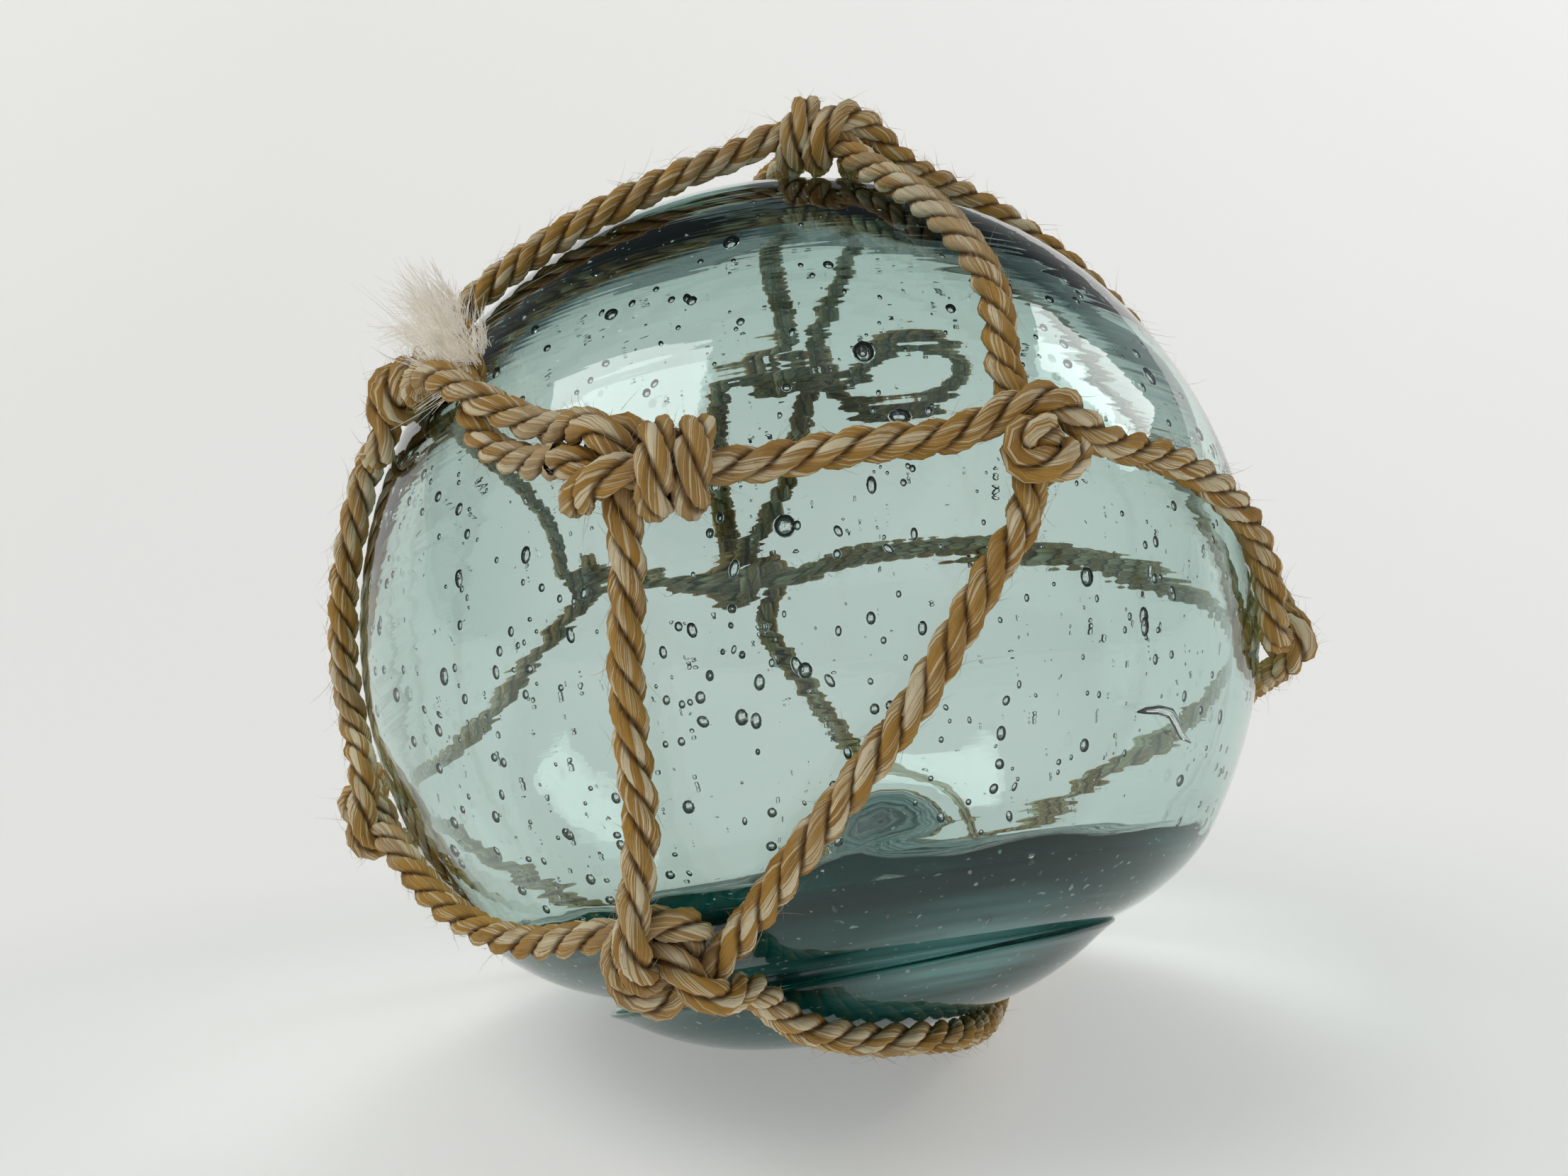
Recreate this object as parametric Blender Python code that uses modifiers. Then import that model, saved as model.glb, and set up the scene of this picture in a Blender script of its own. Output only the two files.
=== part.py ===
"""Small glass fishing float: a blown glass ball with its seal, held in a knotted cord net.

The ball stands on a small flat spot under its seal. The origin is at the middle of that spot,
+Z is up and -Y is the front. Places on the ball are given by a bearing, in degrees to the right
of the front, and a height, in degrees above the ball's middle. Lengths are in metres.
"""

import math

import bmesh
import bpy
from mathutils import Matrix, Vector

# The glass
BALL_RADIUS = 0.047
SEAL_BEARING = 23
SEAL_HEIGHT = -67
SEAL_RADIUS = 0.0252
SEAL_SETBACK = 0.0031
SEAL_DOME = 0.0062
DOME_POWER = 3
LIP_THICKNESS = 0.0009
LIP_OVERHANG = 0.0009
LIP_GROOVE = 0.0002
SEAL_LOBE = 0.0008
LOBE_BEARING = -60
SHOULDER_WIDTH = 0.014
SHOULDER_POWER = 1.6
FLAT_SPOT_RADIUS = 0.006

# The cord
CORD_DIAMETER = 0.003
CLEARANCE = 0.0003
CORD_STEP = 2.6
TIGHT_CORD_STEP = 1.4
TIGHT_CORDS = ("spare_cord_back", "spare_loop_back")
KNOT_REACH = 1.75
KNOT_GAP = 0.0008
KNOT_HALF_HEIGHT = 1.05

# Facets
BALL_SIDES = 40
BALL_RINGS = 13
SHOULDER_RINGS = 3
DOME_RINGS = 4
CORD_BEVEL = 2
KNOT_BEVEL = 1

# Each knot: bearing and height on the ball, its size against an ordinary knot, and the turn of its collar
KNOTS = {
    "knot_top": (8, 78, 1.1, 20),
    "knot_front_right": (22, 24, 1.0, 90),
    "knot_front_left": (-16, 21, 1.25, 75),
    "knot_left": (-73, 31, 1.0, 60),
    "knot_front_low": (-16, -24.5, 1.1, 100),
    "knot_left_low": (-81, -19, 0.95, 40),
    "knot_right": (80, -2.5, 0.95, 110),
    "knot_back_left": (-143, 1, 0.95, 30),
    "knot_back": (-173, 0, 1.1, 80),
    "knot_back_high": (-178, 39, 1.0, 90),
    "knot_back_low": (143, -48, 1.0, 60),
}

# Each cord: the knots it joins and the points between them, as bearing, height and stand-off in millimetres
CORDS = {
    "cord_top_to_front_right": (
        "knot_top",
        "knot_front_right",
        [(17, 71, 0), (22.5, 64, 0), (24.5, 53, 0), (25.5, 43.5, 0), (24.5, 34, 0)],
    ),
    "cord_top_to_left": (
        "knot_top",
        "knot_left",
        [(-24, 73, 1.2), (-41, 66, 0.7), (-55, 57, 0), (-66, 49, 0), (-71, 41, 0.5)],
    ),
    "cord_top_to_right": (
        "knot_top",
        "knot_right",
        [(58, 76, 0.6), (92, 68, 0), (98, 58, 0), (98, 44, 0), (98, 29, 0), (94, 14, 0)],
    ),
    "cord_top_to_back_near": (
        "knot_top",
        "knot_back_high",
        [(-145, 79, 0.4), (-164, 68, 0), (-172, 57, 0), (-176, 48, 0)],
    ),
    "cord_top_to_back_far": (
        "knot_top",
        "knot_back_high",
        [(132, 79, 0.4), (164, 68, 0), (171, 57, 0), (177, 48, 0)],
    ),
    "cord_front_right_to_left": (
        "knot_front_right",
        "knot_front_left",
        [(14, 25.6, 0), (6, 24.8, 0), (-3, 22.6, 0)],
    ),
    "cord_front_left_to_left": (
        "knot_front_left",
        "knot_left",
        [(-27, 25.6, 0), (-35.5, 28.4, 2.2), (-43, 30.5, 3.9), (-51, 31.3, 3.2), (-62, 31.5, 1.0)],
    ),
    "cord_front_right_to_right": (
        "knot_front_right",
        "knot_right",
        [(32, 26.8, 0), (42, 23, 0), (52, 18.5, 0), (62, 13, 0), (72, 6.5, 0.3)],
    ),
    "cord_left_to_back_left": (
        "knot_left",
        "knot_back_left",
        [(-90, 31, 0), (-108, 26, 0), (-123, 18.5, 0), (-133, 10.5, 0)],
    ),
    "cord_back_left_to_back": (
        "knot_back_left",
        "knot_back",
        [(-152, 0.6, 0), (-162, 0.4, 0)],
    ),
    "cord_back_to_right": (
        "knot_back",
        "knot_right",
        [(176, 2, 0), (159, 3.8, 0), (138, 4.6, 0), (114, 3.2, 0), (97, 1.5, 0)],
    ),
    "cord_back_high_to_back": (
        "knot_back_high",
        "knot_back",
        [(-176.5, 30, 0), (-176, 19, 0), (-175, 9, 0)],
    ),
    "cord_front_left_down": (
        "knot_front_left",
        "knot_front_low",
        [(-18, 13, 0), (-17.6, 5, 0), (-17, -3, 0), (-16, -10, 0), (-15.6, -17, 0.2)],
    ),
    "cord_front_right_down": (
        "knot_front_right",
        "knot_front_low",
        [(20.6, 18.5, 0), (15.8, 12.5, 0), (11, 4, 0), (4.7, -4.6, 0), (-2.3, -14, 0), (-9, -21.5, 0)],
    ),
    "cord_left_down": (
        "knot_left",
        "knot_left_low",
        [(-75, 22, 0.3), (-75, 11, 0), (-74, -2, 0), (-76, -11, 0)],
    ),
    "cord_back_left_down": (
        "knot_back_left",
        "knot_left_low",
        [(-135, -6, 0), (-124, -13.5, 0), (-111, -19, 0), (-97, -20.5, 0)],
    ),
    "cord_back_down": (
        "knot_back",
        "knot_back_low",
        [(-177, -8.5, 0), (179, -17, 0), (168, -30, 0), (157, -40, 0)],
    ),
    "cord_right_down": (
        "knot_right",
        "knot_back_low",
        [(88, -8, 0), (98, -14.5, 0), (107, -22.5, 0), (117, -31, 0), (130, -41, 0)],
    ),
    "cord_left_low_to_front_low": (
        "knot_left_low",
        "knot_front_low",
        [(-67, -22.5, 0), (-57, -26.5, 0), (-46, -29, 0), (-35, -28.5, 0), (-25, -27, 0)],
    ),
    "cord_under_seal": (
        "knot_front_low",
        "knot_back_low",
        [
            (-9.5, -32.5, 0.2),
            (-5.5, -37.3, 0),
            (-2, -40.3, 0),
            (4, -43, 0),
            (11, -44.7, 0),
            (19, -46.5, 0),
            (29, -50.5, 0),
            (42, -56.5, 0),
            (62, -61.5, 0),
            (96, -61, 0),
            (124, -55, 0),
        ],
    ),
    "cord_left_low_to_back_low": (
        "knot_left_low",
        "knot_back_low",
        [(-90, -30, 0), (-101, -42, 0), (-116, -53, 0), (-146, -62, 0), (177, -60, 0), (158, -53, 0)],
    ),
    "spare_cord_back": (
        "knot_back_high",
        "knot_back",
        [(-170, 40.8, 0), (-164, 41, 0), (-161.8, 36, 0), (-163.8, 28, 0), (-165, 19, 0), (-166.5, 10.5, 0)],
    ),
    "spare_loop_back": (
        "knot_back_high",
        "knot_back_high",
        [
            (172, 41, 0),
            (163.5, 44.5, 0),
            (153, 46.8, 0),
            (144.5, 45.8, 0),
            (142, 41, 0),
            (150, 36, 0),
            (162.5, 33, 0),
            (172.5, 34, 0),
        ],
    ),
}

# The loose end: it doubles back from the front left knot, passes under the cord there and frays
LOOSE_END_KNOT = "knot_front_left"
LOOSE_END = [
    (-24, 20.8, 0),
    (-30, 21.8, 0),
    (-36.5, 22.9, 0),
    (-41.5, 25, 0),
    (-43, 28.5, 0),
    (-45.5, 32.5, 0.6),
    (-49.5, 36, 1.6),
]
FRAY_POINTS = [(-54, 38.6, 2.6), (-59, 40.6, 4.2), (-64, 42.2, 5.8)]
FRAY_SWELL = [1.5, 2.3, 1.9]
FRAY_TIP = 0.5

# Looks: colour and roughness
GLASS = ((0.45, 0.66, 0.64), 0.05)
CORD = ((0.42, 0.25, 0.09), 0.85)
FRAY = ((0.66, 0.58, 0.47), 0.95)


def on_ball(bearing: float, height: float) -> Vector:
    """The unit direction from the ball's centre at this bearing and height, in degrees."""
    turn = math.radians(bearing)
    rise = math.radians(height)
    return Vector((math.sin(turn) * math.cos(rise), -math.cos(turn) * math.cos(rise), math.sin(rise)))


SEAL_AXIS = on_ball(SEAL_BEARING, SEAL_HEIGHT)


def groove_angle() -> float:
    """The angle between the seal's axis and the groove where the ball meets the seal."""
    return math.asin(SEAL_RADIUS / (BALL_RADIUS - SEAL_SETBACK))


def groove_depth() -> float:
    """How far below the ball's centre, along the seal's axis, the groove lies."""
    return math.sqrt((BALL_RADIUS - SEAL_SETBACK) ** 2 - SEAL_RADIUS**2)


def glass_outline() -> list[tuple[float, float]]:
    """Radius and depth along the seal's axis, from the pole above down to the seal's middle."""
    groove = groove_angle()
    shoulder = groove + SHOULDER_WIDTH / BALL_RADIUS
    points = [(0.0, -BALL_RADIUS)]
    for step in range(1, BALL_RINGS + 1):
        angle = math.pi - (math.pi - shoulder) * step / BALL_RINGS
        points.append((BALL_RADIUS * math.sin(angle), BALL_RADIUS * math.cos(angle)))
    for step in range(1, SHOULDER_RINGS + 1):
        share = step / SHOULDER_RINGS
        angle = shoulder - (shoulder - groove) * share
        reach = BALL_RADIUS - SEAL_SETBACK * share**SHOULDER_POWER
        points.append((reach * math.sin(angle), reach * math.cos(angle)))
    lip_top = groove_depth() + LIP_GROOVE
    lip_edge = SEAL_RADIUS + LIP_OVERHANG
    points.append((lip_edge, lip_top))
    points.append((lip_edge, lip_top + LIP_THICKNESS))
    for step in range(1, DOME_RINGS + 1):
        share = 1 - step / DOME_RINGS
        drop = SEAL_DOME * (1 - share**DOME_POWER)
        points.append((SEAL_RADIUS * share, lip_top + LIP_THICKNESS + drop))
    return points


def lobe_shift(direction: Vector) -> float:
    """How much further out along the seal's axis the seal stands on this side of it."""
    heavy = on_ball(LOBE_BEARING, 0)
    heavy = (heavy - SEAL_AXIS * heavy.dot(SEAL_AXIS)).normalized()
    return SEAL_LOBE * direction.normalized().dot(heavy) * BALL_RADIUS / SEAL_RADIUS


def glass_radius(direction: Vector) -> float:
    """The distance from the ball's centre to the glass in this direction, bridging the groove."""
    angle = SEAL_AXIS.angle(direction)
    if angle > groove_angle() + SHOULDER_WIDTH / BALL_RADIUS:
        return BALL_RADIUS
    outline = glass_outline()[BALL_RINGS:]
    lip = len(outline) - DOME_RINGS - 2
    outline = outline[: lip - 1] + outline[lip:]
    for (near, near_depth), (far, far_depth) in zip(outline, outline[1:]):
        first, last = math.atan2(near, near_depth), math.atan2(far, far_depth)
        if last <= angle <= first:
            share = (first - angle) / (first - last)
            reach = math.hypot(near, near_depth) * (1 - share) + math.hypot(far, far_depth) * share
            inside = angle < groove_angle()
            return reach + (lobe_shift(direction) * math.cos(angle) if inside else 0.0)
    return BALL_RADIUS


def rest_height() -> float:
    """The height of the ball's centre when the flat spot has its set radius."""
    return math.sqrt(glass_radius(Vector((0, 0, -1))) ** 2 - FLAT_SPOT_RADIUS**2)


CENTRE = Vector((0, 0, rest_height()))


def place(bearing: float, height: float, lift: float) -> Vector:
    """The point over the glass at this bearing and height, with its distance from the glass."""
    direction = on_ball(bearing, height)
    return CENTRE + direction * (glass_radius(direction) + lift)


def over_glass(point: Vector) -> float:
    """How far a point is from the surface of the glass."""
    out = point - CENTRE
    return out.length - glass_radius(out)


def cord_lift(stand_off_mm: float = 0.0) -> float:
    """The distance from the glass to a cord's middle."""
    return CLEARANCE + CORD_DIAMETER / 2 + stand_off_mm / 1000


def smooth_route(points: list[Vector], spacing: float) -> list[Vector]:
    """Points at even steps along a smooth curve through the given ones."""
    padded = [points[0] * 2 - points[1], *points, points[-1] * 2 - points[-2]]
    fine = []
    for index in range(1, len(padded) - 2):
        before, first, second, after = padded[index - 1 : index + 3]
        for step in range(16):
            t = step / 16
            fine.append(
                0.5
                * (
                    first * 2
                    + (second - before) * t
                    + (before * 2 - first * 5 + second * 4 - after) * t**2
                    + (first * 3 - before - second * 3 + after) * t**3
                )
            )
    fine.append(points[-1])
    lengths = [0.0]
    for start, end in zip(fine, fine[1:]):
        lengths.append(lengths[-1] + (end - start).length)
    pieces = max(2, round(lengths[-1] / spacing))
    even = []
    index = 0
    for piece in range(pieces + 1):
        target = lengths[-1] * piece / pieces
        while index < len(fine) - 2 and lengths[index + 1] < target:
            index += 1
        share = (target - lengths[index]) / (lengths[index + 1] - lengths[index])
        even.append(fine[index].lerp(fine[index + 1], share))
    return even


def clear_of_glass(points: list[Vector], lift: float) -> list[Vector]:
    """The same points, each pushed out where it is nearer to the glass than the lift."""
    moved = []
    for point in points:
        short = lift - over_glass(point)
        moved.append(point + (point - CENTRE).normalized() * max(0.0, short))
    return moved


def trim(points: list[Vector], start_reach: float, end_reach: float) -> list[Vector]:
    """Cuts a route back from both ends by a straight distance from the end point."""

    def cut(route: list[Vector], reach: float) -> list[Vector]:
        origin = route[0]
        for index in range(1, len(route)):
            if (route[index] - origin).length > reach:
                inner, outer = route[index - 1], route[index]
                low, high = 0.0, 1.0
                for _ in range(24):
                    middle = (low + high) / 2
                    if (inner.lerp(outer, middle) - origin).length < reach:
                        low = middle
                    else:
                        high = middle
                return [inner.lerp(outer, high), *route[index:]]
        return route

    if start_reach:
        points = cut(points, start_reach)
    if end_reach:
        points = cut(points[::-1], end_reach)[::-1]
    return points


def material(name: str, look: tuple) -> bpy.types.Material:
    """A Principled material with its colour and roughness."""
    colour, roughness = look
    made = bpy.data.materials.new(name)
    made.use_nodes = True
    shader = made.node_tree.nodes["Principled BSDF"]
    shader.inputs["Base Color"].default_value = (*colour, 1)
    shader.inputs["Roughness"].default_value = roughness
    shader.inputs["Metallic"].default_value = 0
    return made


def add_mesh(name: str, build, collection: bpy.types.Collection) -> bpy.types.Object:
    """A new mesh object in the collection, filled by build."""
    mesh = bpy.data.meshes.new(name)
    work = bmesh.new()
    build(work)
    work.to_mesh(mesh)
    work.free()
    made = bpy.data.objects.new(name, mesh)
    collection.objects.link(made)
    return made


def as_mesh(source: bpy.types.Object) -> bpy.types.Object:
    """Replaces an object by a plain mesh of what it evaluates to, in world space and welded."""
    bpy.context.view_layer.update()
    graph = bpy.context.evaluated_depsgraph_get()
    mesh = bpy.data.meshes.new_from_object(source.evaluated_get(graph))
    mesh.transform(source.matrix_world)
    work = bmesh.new()
    work.from_mesh(mesh)
    bmesh.ops.remove_doubles(work, verts=work.verts, dist=1e-6)
    bmesh.ops.recalc_face_normals(work, faces=work.faces)
    work.to_mesh(mesh)
    work.free()
    name = source.name
    collection = source.users_collection[0]
    slots = list(source.data.materials)
    bpy.data.objects.remove(source)
    mesh.name = name
    made = bpy.data.objects.new(name, mesh)
    mesh.materials.clear()
    for slot in slots:
        mesh.materials.append(slot)
    collection.objects.link(made)
    return made


def tube(
    name: str,
    points: list[Vector],
    collection: bpy.types.Collection,
    swells: list[float] | None = None,
    sides: int = CORD_BEVEL,
    diameter: float = CORD_DIAMETER,
) -> bpy.types.Object:
    """A capped tube along the points, with a width for each point where it isn't even."""
    curve = bpy.data.curves.new(name, "CURVE")
    curve.dimensions = "3D"
    curve.bevel_depth = diameter / 2
    curve.bevel_resolution = sides
    curve.use_fill_caps = True
    spline = curve.splines.new("POLY")
    spline.points.add(len(points) - 1)
    for index, point in enumerate(points):
        spline.points[index].co = (*point, 1)
        spline.points[index].radius = swells[index] if swells else 1.0
    made = bpy.data.objects.new(name, curve)
    collection.objects.link(made)
    return made


def make_glass(collection: bpy.types.Collection, cutters: bpy.types.Collection) -> bpy.types.Object:
    """The ball turned about the seal's axis, a little heavier at one side, with its flat spot cut."""
    outline = glass_outline()

    def profile(work: bmesh.types.BMesh) -> None:
        corners = [work.verts.new((radius, 0, -depth)) for radius, depth in outline]
        for first, second in zip(corners, corners[1:]):
            work.edges.new((first, second))

    glass = add_mesh("glass_float", profile, collection)
    turn = glass.modifiers.new("turned", "SCREW")
    turn.steps = BALL_SIDES
    turn.render_steps = BALL_SIDES
    turn.use_merge_vertices = True
    turn.merge_threshold = 1e-5
    glass.location = CENTRE
    glass.rotation_mode = "QUATERNION"
    glass.rotation_quaternion = (-SEAL_AXIS).to_track_quat("Z", "Y")
    glass = as_mesh(glass)

    for corner in glass.data.vertices:
        out = corner.co - CENTRE
        if out.dot(SEAL_AXIS) > groove_depth() + LIP_GROOVE / 2:
            corner.co += SEAL_AXIS * lobe_shift(out)

    def block(work: bmesh.types.BMesh) -> None:
        bmesh.ops.create_cube(work, size=1)

    floor = add_mesh("flat_spot_cutter", block, cutters)
    floor.scale = (BALL_RADIUS * 2, BALL_RADIUS * 2, BALL_RADIUS)
    floor.location = (0, 0, -BALL_RADIUS / 2)
    floor.hide_render = True
    floor.display_type = "WIRE"
    cut = glass.modifiers.new("flat_spot", "BOOLEAN")
    cut.operation = "DIFFERENCE"
    cut.object = floor
    glass.data.materials.append(material("glass", GLASS))
    glass.data.shade_smooth()
    return glass


def full_route(start: str, end: str, between: list) -> list[Vector]:
    """The middle line of a cord from one knot's middle to the other's."""
    points = [place(*KNOTS[start][:2], cord_lift())]
    for bearing, height, stand_off in between:
        points.append(place(bearing, height, cord_lift(stand_off)))
    points.append(place(*KNOTS[end][:2], cord_lift()))
    return points


def knot_reach(name: str) -> float:
    """How far a knot reaches along its cords from its middle."""
    return KNOT_REACH * CORD_DIAMETER * KNOTS[name][2]


def make_cord(name: str, look: bpy.types.Material, collection: bpy.types.Collection) -> None:
    """One length of cord, from the face of one knot to the face of the next."""
    start, end, between = CORDS[name]
    step = CORD_DIAMETER * (TIGHT_CORD_STEP if name in TIGHT_CORDS else CORD_STEP)
    route = smooth_route(full_route(start, end, between), CORD_DIAMETER / 2)
    route = clear_of_glass(route, cord_lift())
    route = trim(route, knot_reach(start) + KNOT_GAP, knot_reach(end) + KNOT_GAP)
    route = clear_of_glass(smooth_route(route, step), cord_lift())
    cord = tube(name, route, collection)
    cord.data.materials.append(look)


def make_loose_end(look: bpy.types.Material, collection: bpy.types.Collection) -> None:
    """The doubled loose end of the cord, with its frayed tuft as one tapering form."""
    points = [place(*KNOTS[LOOSE_END_KNOT][:2], cord_lift())]
    for bearing, height, stand_off in LOOSE_END + FRAY_POINTS:
        points.append(place(bearing, height, cord_lift(stand_off)))
    whole = smooth_route(points, CORD_DIAMETER / 2)
    route = trim(whole, knot_reach(LOOSE_END_KNOT) + KNOT_GAP, 0)
    route = smooth_route(route, CORD_DIAMETER * 1.3)
    fray_starts = place(*LOOSE_END[-1][:2], cord_lift(LOOSE_END[-1][2]))
    first = min(range(len(route)), key=lambda index: (route[index] - fray_starts).length)
    swells = []
    for index in range(len(route)):
        if index <= first:
            swells.append(1.0)
            continue
        share = (index - first) / (len(route) - 1 - first) * len(FRAY_SWELL)
        marks = [1.0, *FRAY_SWELL]
        low = min(int(share), len(marks) - 2)
        swells.append(marks[low] + (marks[low + 1] - marks[low]) * (share - low))
    swells[-1] = FRAY_TIP
    cord = tube("loose_end_frayed", route, collection, swells=swells)
    cord.data.materials.append(look)


def press_on_glass(piece: bpy.types.Object) -> None:
    """Flattens a piece of a knot where it would reach into the glass."""
    for corner in piece.data.vertices:
        short = CLEARANCE - over_glass(corner.co)
        if short > 0:
            corner.co += (corner.co - CENTRE).normalized() * short


def knot_frame(name: str) -> Matrix:
    """Places a knot: X and Y along the glass, Y towards the top of the ball, and Z outwards."""
    bearing, height, size, turn = KNOTS[name]
    out = on_ball(bearing, height)
    up = Vector((0, 0, 1)) - out * out.z
    up.normalize()
    across = up.cross(out)
    turned = Matrix.Rotation(math.radians(turn), 4, "Z")
    middle = place(bearing, height, CLEARANCE + KNOT_HALF_HEIGHT * CORD_DIAMETER)
    base = Matrix.Translation(middle) @ Matrix((across, up, out)).transposed().to_4x4()
    return base @ turned @ Matrix.Scale(CORD_DIAMETER * size, 4)


def knot_stubs(name: str, collection: bpy.types.Collection) -> list[bpy.types.Object]:
    """The short lengths of cord that leave a knot, one towards each cord that it ties."""
    routes = []
    for start, end, between in CORDS.values():
        points = full_route(start, end, between)
        if start == name:
            routes.append(points)
        if end == name:
            routes.append(points[::-1])
    if name == LOOSE_END_KNOT:
        points = [place(*KNOTS[name][:2], cord_lift())]
        points += [place(bearing, height, cord_lift(off)) for bearing, height, off in LOOSE_END]
        routes.append(points)
    middle = knot_frame(name).translation
    stubs = []
    for index, points in enumerate(routes):
        route = clear_of_glass(smooth_route(points, CORD_DIAMETER / 4), cord_lift())
        outer = trim(route, knot_reach(name), 0)
        bend = trim(route, knot_reach(name) * 0.6, 0)[0]
        stubs.append(tube(f"{name}_stub_{index}", [middle, bend, outer[0]], collection, sides=KNOT_BEVEL))
    return [as_mesh(stub) for stub in stubs]


def make_knot(name: str, look: bpy.types.Material, collection: bpy.types.Collection) -> None:
    """A knot as one solid: its core, the collar round one leg, the bight over it and its stubs."""
    frame = knot_frame(name)

    def core(work: bmesh.types.BMesh) -> None:
        bmesh.ops.create_uvsphere(work, u_segments=8, v_segments=5, radius=0.92)

    body = add_mesh(name, core, collection)
    body.matrix_world = frame @ Matrix.Diagonal((1.0, 1.0, 0.98, 1.0))
    body = as_mesh(body)
    press_on_glass(body)

    collar_points = [
        frame @ Vector((0.95 * math.cos(turn), -0.42 + 0.16 * math.sin(2 * turn), 0.62 * math.sin(turn)))
        for turn in [math.tau * step / 10 for step in range(10)]
    ]
    collar = tube(f"{name}_collar", collar_points, collection, sides=KNOT_BEVEL)
    collar.data.splines[0].use_cyclic_u = True
    bight_points = [
        frame @ Vector((x, y, z))
        for x, y, z in [(-1.0, 0.1, -0.35), (-0.75, 0.62, 0.2), (0, 0.8, 0.5), (0.75, 0.62, 0.2), (1.0, 0.1, -0.35)]
    ]
    bight = tube(f"{name}_bight", bight_points, collection, sides=KNOT_BEVEL)
    pieces = [as_mesh(collar), as_mesh(bight)]
    for piece in pieces:
        press_on_glass(piece)
    pieces += knot_stubs(name, collection)
    for piece in pieces:
        joined = body.modifiers.new(piece.name, "BOOLEAN")
        joined.operation = "UNION"
        joined.solver = "MANIFOLD"
        joined.object = piece
    body = as_mesh(body)
    for piece in pieces:
        bpy.data.objects.remove(piece)
    body.data.materials.clear()
    body.data.materials.append(look)
    body.data.shade_smooth()


def main() -> None:
    """Clears the scene and builds the float."""
    for old in list(bpy.data.objects):
        bpy.data.objects.remove(old)
    parts = bpy.data.collections.new("glass_float_in_net")
    cutters = bpy.data.collections.new("cutters")
    bpy.context.scene.collection.children.link(parts)
    bpy.context.scene.collection.children.link(cutters)
    make_glass(parts, cutters)
    cord_look = material("cord", CORD)
    fray_look = material("frayed_cord", FRAY)
    for name in CORDS:
        make_cord(name, cord_look, parts)
    make_loose_end(fray_look, parts)
    for name in KNOTS:
        make_knot(name, cord_look, parts)


main()
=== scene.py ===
"""Netted glass fishing float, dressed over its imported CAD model.

A hollow ball of blown glass with its seal and its seed bubbles, held in a net of three-strand
cord. The ball stands on the origin, +Z is up and -Y is the front. Places on the ball are given
by a bearing, in degrees to the right of the front, and a height, in degrees above the ball's
middle. Lengths are in metres unless a name says otherwise.
"""

import logging
import math
from dataclasses import dataclass, field
from enum import Enum

import bpy
import numpy as np
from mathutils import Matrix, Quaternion, Vector


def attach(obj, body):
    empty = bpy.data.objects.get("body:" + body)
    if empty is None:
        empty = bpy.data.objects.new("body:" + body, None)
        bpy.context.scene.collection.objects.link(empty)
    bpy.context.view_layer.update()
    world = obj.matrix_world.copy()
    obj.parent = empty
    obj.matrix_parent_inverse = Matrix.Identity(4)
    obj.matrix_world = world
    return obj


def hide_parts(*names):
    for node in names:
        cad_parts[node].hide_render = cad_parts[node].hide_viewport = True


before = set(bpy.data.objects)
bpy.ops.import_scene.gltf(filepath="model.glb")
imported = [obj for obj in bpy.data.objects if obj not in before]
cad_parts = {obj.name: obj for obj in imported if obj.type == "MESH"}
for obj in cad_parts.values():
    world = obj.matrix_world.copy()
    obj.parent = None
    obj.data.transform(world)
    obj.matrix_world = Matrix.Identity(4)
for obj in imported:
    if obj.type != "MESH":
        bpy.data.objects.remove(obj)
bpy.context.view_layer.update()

LOG = logging.getLogger("glass_float_in_net")
LOOSE_NODE = "loose_end_frayed"
MM = 0.001
UP = np.array([0.0, 0.0, 1.0])

Array = np.ndarray
Pair = tuple[float, float]
Triple = tuple[float, float, float]
Colour = tuple[float, float, float]
Node = bpy.types.Node
Piece = bpy.types.Object
Socket = bpy.types.NodeSocket
Inputs = dict[str | int, Socket | float | tuple]

# Where a Mix node, which holds all its kinds side by side, has its share and its two colours
MIX_INPUTS = (0, 6, 7)
MIX_RESULT = 2

BALL_RADIUS = 0.047
CORD_DIAMETER = 0.003
CLEARANCE = 0.0001

# Bearing and height of each knot, and its size against an ordinary knot
KNOTS = {
    "top": (8, 78, 1.0),
    "front_right": (22, 24, 0.88),
    "front_left": (-16, 21, 1.0),
    "left": (-64.5, 29.5, 0.76),
    "front_low": (-16, -24.5, 0.95),
    "left_low": (-71.5, -20, 0.76),
    "right": (71, 1.0, 0.72),
    "back_left": (-143, 1, 0.95),
    "back": (-173, 0, 1.0),
    "back_high": (-178, 39, 1.0),
    "back_low": (143, -48, 0.95),
}

# Knots that are drawn tight, so that their cords are pressed flat, and how flat
TIGHT_KNOTS = ("left", "left_low", "right")
TIGHT = 0.55

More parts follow.
